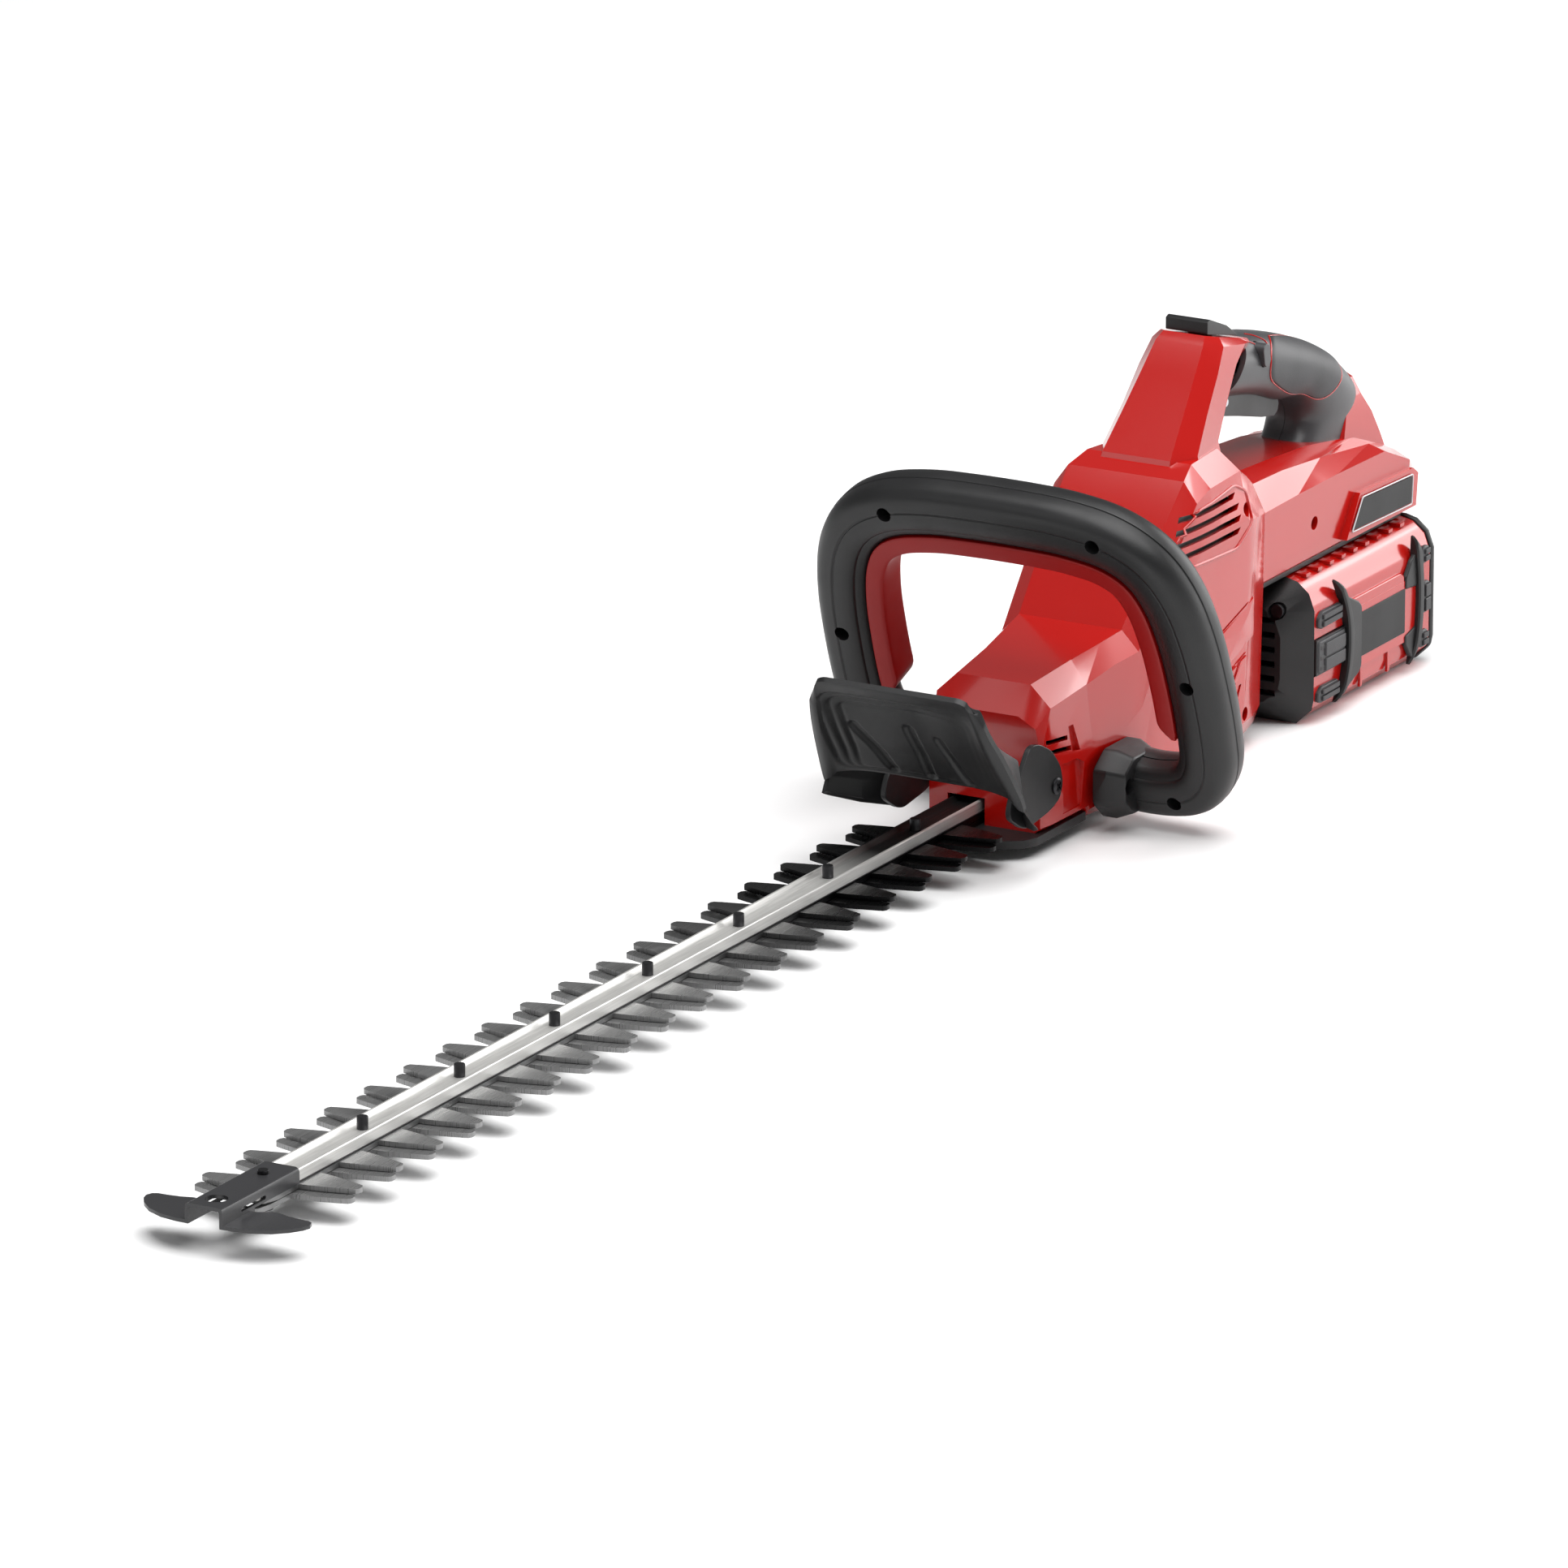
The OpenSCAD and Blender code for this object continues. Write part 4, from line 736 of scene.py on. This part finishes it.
# the two half shells, softly rounded, with the CAD's seam on the centre plane
for s, nm in ((1, "left"), (-1, "right")):
    rings = []
    for k in range(0, 57):
        f = k / 8
        ring = [grip_at(f, -90 + 180 * j / 30) for j in range(31)]
        for q in ring:
            q.x = max(q.x, 0.12)
        inner = [grip_at(f, 90 - 180 * j / 30, -2.8) for j in range(31)]
        for q in inner:
            q.x = max(q.x - 0.0, 0.12)
        rings.append([Vector((s * q.x, q.y, q.z)) for q in ring + inner])
    g = loft("grip_" + nm, rings)
    cs = []
    slot = [(190, 134), (264, 124), (266, 148), (190, 165)]
    cs.append(slab("x", slot, lambda u, v, h: Vector((s * h, u, v)), -1, 8.5))
    for yy, zz in ((229, 167.7), (228, 172.7)):
        cs.append(rod((s * -1, yy, zz), (s * 30, yy, zz), 3.6, 32))
    cs.append(slab("x", [(225.4, 167.7), (232.6, 167.7), (231.6, 172.7), (224.4, 172.7)], lambda u, v, h: Vector((s * h, u, v)), -1, 30))
    cut(g, cs)
    finish_piece(g, "tool", "grip_grey", ["rear_grip_" + nm], bevel=0.0004, angle=50, seg=2, smooth=44)

# moulded-in pads with a thin red line around them, and the raised crescent behind the tower
PAD = [(1.15, 62), (0.98, 40), (0.9, 12), (1.05, -18), (1.55, -34), (2.4, -44), (3.3, -46), (3.95, -38), (4.2, -18), (4.18, 12), (3.95, 40), (3.5, 58), (2.6, 66), (1.7, 67)]
PADS = catmull(PAD + [PAD[0]], 6)[:-1]
trims = []
for s, nm in ((1, "left"), (-1, "right")):
    c = (2.5, 10)
    rings = []
    for grow, k in ((-0.6, 1.0), (0.25, 0.995), (0.65, 0.97), (0.75, 0.93), (0.75, 0.6), (0.75, 0.3), (0.75, 0.06)):
        ring = []
        for f, a in PADS:
            q = grip_at(c[0] + (f - c[0]) * k, c[1] + (a - c[1]) * k, grow)
            ring.append(Vector((s * q.x, q.y, q.z)))
        rings.append(ring)
    pad = loft("grip_pad_" + nm, rings)
    finish_piece(pad, "tool", "soft_pad", ["grip_pads"], bevel=0, smooth=50)
    line = []
    for f, a in PADS:
        q = grip_at(c[0] + (f - c[0]) * 1.012, c[1] + (a - c[1]) * 1.012, 0.1)
        line.append(Vector((s * q.x, q.y, q.z)))
    trims.append(tube("t", line, 0.42))
    line = []
    for f, a in catmull([(0.1, 60), (0.42, 45), (0.52, 30), (0.62, 14), (0.78, 22), (0.84, 45), (0.66, 66), (0.5, 76)], 6):
        q = grip_at(f, a, 0.1)
        line.append(Vector((s * q.x, q.y, q.z)))
    trims.append(tube("t", line, 0.36, closed=False))
finish_piece(join("grip_trim_lines", trims), "tool", "red_shell", [], bevel=0, smooth=60)

# ------------------------------------------------------------------ battery side pieces
BW = 45.0


def side_slab(name, poly, x0, x1, r, s, chamfer=0.6):
    q = round_poly(poly, r, 4)
    c = Vector((sum(p[0] for p in q) / len(q), sum(p[1] for p in q) / len(q)))
    rings = []
    for h, k in ((x0, 0.0), (x1 - chamfer, 0.0), (x1 - chamfer * 0.3, chamfer * 0.7), (x1, chamfer * 1.6)):
        ring = []
        for u, v in q:
            d = Vector((u, v)) - c
            l = max(d.length, 1e-6)
            d = d * max(0.1, (l - k) / l)
            ring.append(Vector((s * h, c.x + d.x, c.y + d.y)))
        rings.append(ring)
    return loft(name, rings)


def arc_bracket(s, pts, w0, w1, x0, x1):
    """A curved strap over the battery's side: pts are (y, z, half width)."""
    P = catmull(pts, 8)
    rings = []
    for i, (y, z, w) in enumerate(P):
        a, b = P[max(0, i - 1)], P[min(len(P) - 1, i + 1)]
        t = Vector((b[0] - a[0], b[1] - a[1])).normalized()
        n_ = Vector((-t.y, t.x))
        e = min(1, min(i, len(P) - 1 - i) / 9)
        xt = x0 + (x1 - x0) * (0.25 + 0.75 * math.sin(e * math.pi / 2))
        sec = [(-w, x0 - 0.6), (-w, xt - 0.9), (-w + 0.7, xt - 0.1), (0, xt), (w - 0.7, xt - 0.1), (w, xt - 0.9), (w, x0 - 0.6)]
        rings.append([Vector((s * h, y + n_.x * u, z + n_.y * u)) for u, h in sec])
    return loft("strap", rings)


for s, nm in ((1, "left"), (-1, "right")):
    br = [arc_bracket(s, [(247.5, 60.5, 0.5), (252.0, 55.0, 1.6), (256.6, 47, 2.0), (259.6, 38, 2.2), (260.6, 28, 2.3), (259.2, 17, 2.2), (255.4, 8, 1.8), (249.0, 1.0, 0.6)], 0, 0, BW + 0.2, BW + 4.2),
          arc_bracket(s, [(328.4, 61.5, 0.6), (329.8, 54.0, 2.2), (331.4, 44, 2.4), (332.2, 33, 2.4), (331.4, 20, 2.3), (329.2, 10, 2.1), (325.0, -0.6, 0.6)], 0, 0, BW + 0.2, BW + 4.2),
          side_slab("web", [(258, 50.5), (270.5, 44.6), (273, 42), (273, 12.6), (270.5, 10), (258, 5.4), (261.5, 18), (262.4, 28), (261, 39)], BW + 0.3, BW + 2.6, 1.2, s),
          side_slab("web", [(331.5, 55), (324, 50.5), (318.6, 43.5), (318.6, 38), (330.8, 37)], BW + 0.3, BW + 2.4, 1.0, s),
          side_slab("web", [(330.6, 18), (318.6, 15), (318.6, 11), (324, 4), (327.6, 1.6)], BW + 0.3, BW + 2.4, 1.0, s)]
    finish_piece(join("brackets_" + nm, br), "battery", "black_plastic", ["battery_brackets"], bevel=0.0003, angle=40, seg=2, smooth=40)
    pads, reds = [], []
    for y0, y1, z0, z1 in ((230.5, 253.5, 40.5, 49.0), (230.5, 251.5, 4.5, 12.5), (334.8, 343.6, 45.5, 54), (335.4, 344.6, 21, 36.5), (333.8, 343.2, 4.5, 13)):
        h = z1 - z0
        pads.append(side_slab("p", [(y0, z0 + h * 0.2), (y0 + 3, z0), (y1, z0 + 0.4), (y1, z1 - 0.4), (y0 + 4, z1), (y0, z1 - h * 0.35)], BW - 0.2, BW + 1.7, 1.6, s))
        m = (z0 + z1) / 2
        pads.append(side_slab("p", [(y0 + 3.6, z0 + 1.0), (y1 - 0.4, z0 + 1.2), (y1 - 0.4, m - 0.35), (y0 + 3.6, m - 0.55)], BW + 1.2, BW + 2.7, 0.6, s, 0.4))
        pads.append(side_slab("p", [(y0 + 3.6, m + 0.35), (y1 - 0.4, m + 0.35), (y1 - 0.4, z1 - 1.2), (y0 + 3.6, z1 - 1.4)], BW + 1.2, BW + 2.7, 0.6, s, 0.4))
    finish_piece(join("pads_" + nm, pads), "battery", "soft_pad", ["battery_pads"], bevel=0, smooth=40)
    # raised red bar behind the label and its two ribs
    reds.append(side_slab("r", [(262.4, 14.0), (319, 14.0), (319, 44.6), (315, 47.0), (266, 47.0), (262.4, 44.6)], BW - 0.3, BW + 1.5, 1.0, s, 0.9))
    reds.append(side_slab("r", [(274.5, 1.6), (276.3, 1.6), (276.9, 14.2), (274.3, 14.2)], BW - 0.3, BW + 1.1, 0.3, s, 0.3))
    reds.append(side_slab("r", [(302.5, 1.6), (304.3, 1.6), (304.9, 14.2), (302.3, 14.2)], BW - 0.3, BW + 1.1, 0.3, s, 0.3))
    finish_piece(join("label_seat_" + nm, reds), "battery", "red_shell", [], bevel=0.0003, angle=40, seg=2, smooth=34)
    lab = side_slab("label", [(273.4, 17), (318.4, 17), (318.4, 38.5), (273.4, 38.5)], BW + 1.2, BW + 2.0, 0.6, s, 0.2)
    finish_piece(lab, "battery", "badge_black", ["battery_labels"], bevel=0, smooth=30)
    # release button with its pressed crease
    btn = [side_slab("b", [(230.2, 20.2), (231.6, 19.1), (257.6, 19.1), (257.6, 35.1), (231.6, 35.1), (230.2, 34.0)], BW + 0.7, BW + 2.0, 1.2, s, 0.8),
           side_slab("b", [(236.0, 19.8), (256.6, 19.8), (256.6, 25.8), (236.0, 25.8)], BW + 1.2, BW + 2.9, 0.8, s, 0.6),
           side_slab("b", [(236.0, 26.8), (256.6, 26.8), (256.6, 33.4), (236.0, 33.4)], BW + 1.2, BW + 2.9, 0.8, s, 0.6)]
    finish_piece(join("release_" + nm + "_face", btn), "release_" + nm, "soft_pad", [], bevel=0, smooth=40)

# ------------------------------------------------------------------ badge with its silver line
for s, nm in ((1, "left"), (-1, "right")):
    b = side_slab("badge", [(281.6, 74.9), (291.8, 88.0), (342.4, 86.2), (341.5, 73.4)], 36.6, 37.9, 0.5, s, 0.25)
    finish_piece(b, "tool", "badge_black", ["badge_plates"], bevel=0, smooth=30)
    rim = [Vector((s * 37.75, y, z)) for y, z in round_poly([(280.9, 74.2), (291.5, 88.8), (343.2, 87.0), (342.2, 72.7)], 1.0, 3)]
    finish_piece(tube("badge_rim_" + nm, rim, 0.32), "tool", "red_shell", [], bevel=0, smooth=60, mat=MATS["silver_print"])


# ------------------------------------------------------------------ raised trim that lies on the housing
WALL = NODES["housing_left"]


def on_wall(y, z, lift=0.0):
    hit, loc, nrm, _ = WALL.ray_cast(Vector((0.09, y * MM, z * MM)), Vector((-1, 0, 0)))
    x = loc.x / MM if hit and loc.x > 0.02 else 38.0
    return Vector((x + lift, y, z))


def dense(poly, step_=2.0):
    out = []
    m = len(poly)
    for i in range(m):
        a, b = Vector(poly[i]), Vector(poly[(i + 1) % m])
        k = max(1, int((b - a).length / step_))
        out += [tuple(a.lerp(b, j / k)) for j in range(k)]
    return out


def mirrored(pts, s):
    return [Vector((s * q.x, q.y, q.z)) for q in pts]


for s, nm in ((1, "left"), (-1, "right")):
    fr = round_poly([(99, 100.5), (160, 97.5), (177, 107), (176.5, 120), (164, 126.5), (124, 123.5), (110, 113)], 4, 5)
    ridge = tube("louvre_frame_" + nm, mirrored([q for q in (on_wall(y, z, 0.1) for y, z in dense(fr, 3)) if q.x != 38.1], s), 0.75)
    finish_piece(ridge, "tool", "red_shell", [], bevel=0, smooth=60)
    # slanted panel let into the waist, with its two strokes beneath
    objs = []
    for poly in ([(140.5, 57.5), (181.0, 69.2), (181.4, 50.5), (149.0, 41.0)], [(152.5, 37.6), (163.0, 40.6), (152.0, 27.0), (147.5, 25.6)], [(166.5, 41.6), (172.5, 43.3), (160.5, 29.6), (156.0, 28.2)]):
        q = round_poly(poly, 1.0, 3)
        c = Vector((sum(a for a, b in q) / len(q), sum(b for a, b in q) / len(q)))
        rings = []
        for lift, k in ((-1.2, 1.0), (0.35, 1.0), (0.75, 0.965), (0.8, 0.5), (0.8, 0.06)):
            rings.append(mirrored([on_wall(c.x + (a - c.x) * k, c.y + (b - c.y) * k, lift) for a, b in q], s))
        objs.append(loft("inset", rings))
    finish_piece(join("waist_panel_" + nm, objs), "tool", "red_shell", [], bevel=0, smooth=24)

# ------------------------------------------------------------------ stage
lo, hi = cad_lo, cad_hi
floor_z = lo[2] - 0.0004


floor = add_mesh("floor", [(-30, -30, floor_z), (30, -30, floor_z), (30, 30, floor_z), (-30, 30, floor_z)], [(0, 1, 2, 3)])
fm = Mat("floor_pale", (0.86, 0.86, 0.86, 1), 0.9, spec=0.1)
fm.colour(fm.noise(2, 2), [(0.3, (0.85, 0.85, 0.85, 1)), (0.7, (0.87, 0.87, 0.87, 1))])
floor.data.materials.append(fm.m)

sc = bpy.context.scene
sc.view_settings.view_transform = "Standard"
sc.view_settings.look = "None"
world = bpy.data.worlds.new("world")
bpy.context.scene.world = world
world.use_nodes = True
world.node_tree.nodes["Background"].inputs["Color"].default_value = (1, 1, 1, 1)
world.node_tree.nodes["Background"].inputs["Strength"].default_value = 0.17


def area(name, loc, target, size, power, size_y=None):
    l = bpy.data.lights.new(name, "AREA")
    l.energy, l.size = power, size
    if size_y:
        l.shape, l.size_y = "RECTANGLE", size_y
    o = bpy.data.objects.new(name, l)
    o.location = loc
    o.rotation_mode = "QUATERNION"
    o.rotation_quaternion = (Vector(target) - Vector(loc)).to_track_quat("-Z", "Y")
    bpy.context.scene.collection.objects.link(o)
    return o


area("key", (0.6, -0.4, 3.4), (0, 0, 0), 3.6, 205)
area("side", (1.25, 2.2, 0.55), (0.05, 0.2, 0.08), 2.2, 50, 1.7)
area("shoulder", (1.3, 2.6, 1.9), (0.05, 0.1, 0.05), 1.6, 16, 1.0)
area("fill", (-1.2, -2.6, 1.6), (0, 0, 0.05), 1.6, 9)

cam_d = bpy.data.cameras.new("camera")
cam = bpy.data.objects.new("camera", cam_d)
bpy.context.scene.collection.objects.link(cam)
bpy.context.scene.camera = cam
cam_d.sensor_width = 36.0
cam_d.lens = 334.804
C = Vector((3.014805, -5.550955, 1.980101))
back = Vector((0.46840396, -0.83238058, 0.29620988))
right = Vector((0.871490776, 0.490411896, 0.0)).normalized()
up = back.cross(right)
cam.matrix_world = Matrix((
    (right.x, up.x, back.x, C.x),
    (right.y, up.y, back.y, C.y),
    (right.z, up.z, back.z, C.z),
    (0, 0, 0, 1)))
cam_d.clip_start, cam_d.clip_end = 0.1, 100

bpy.context.view_layer.update()
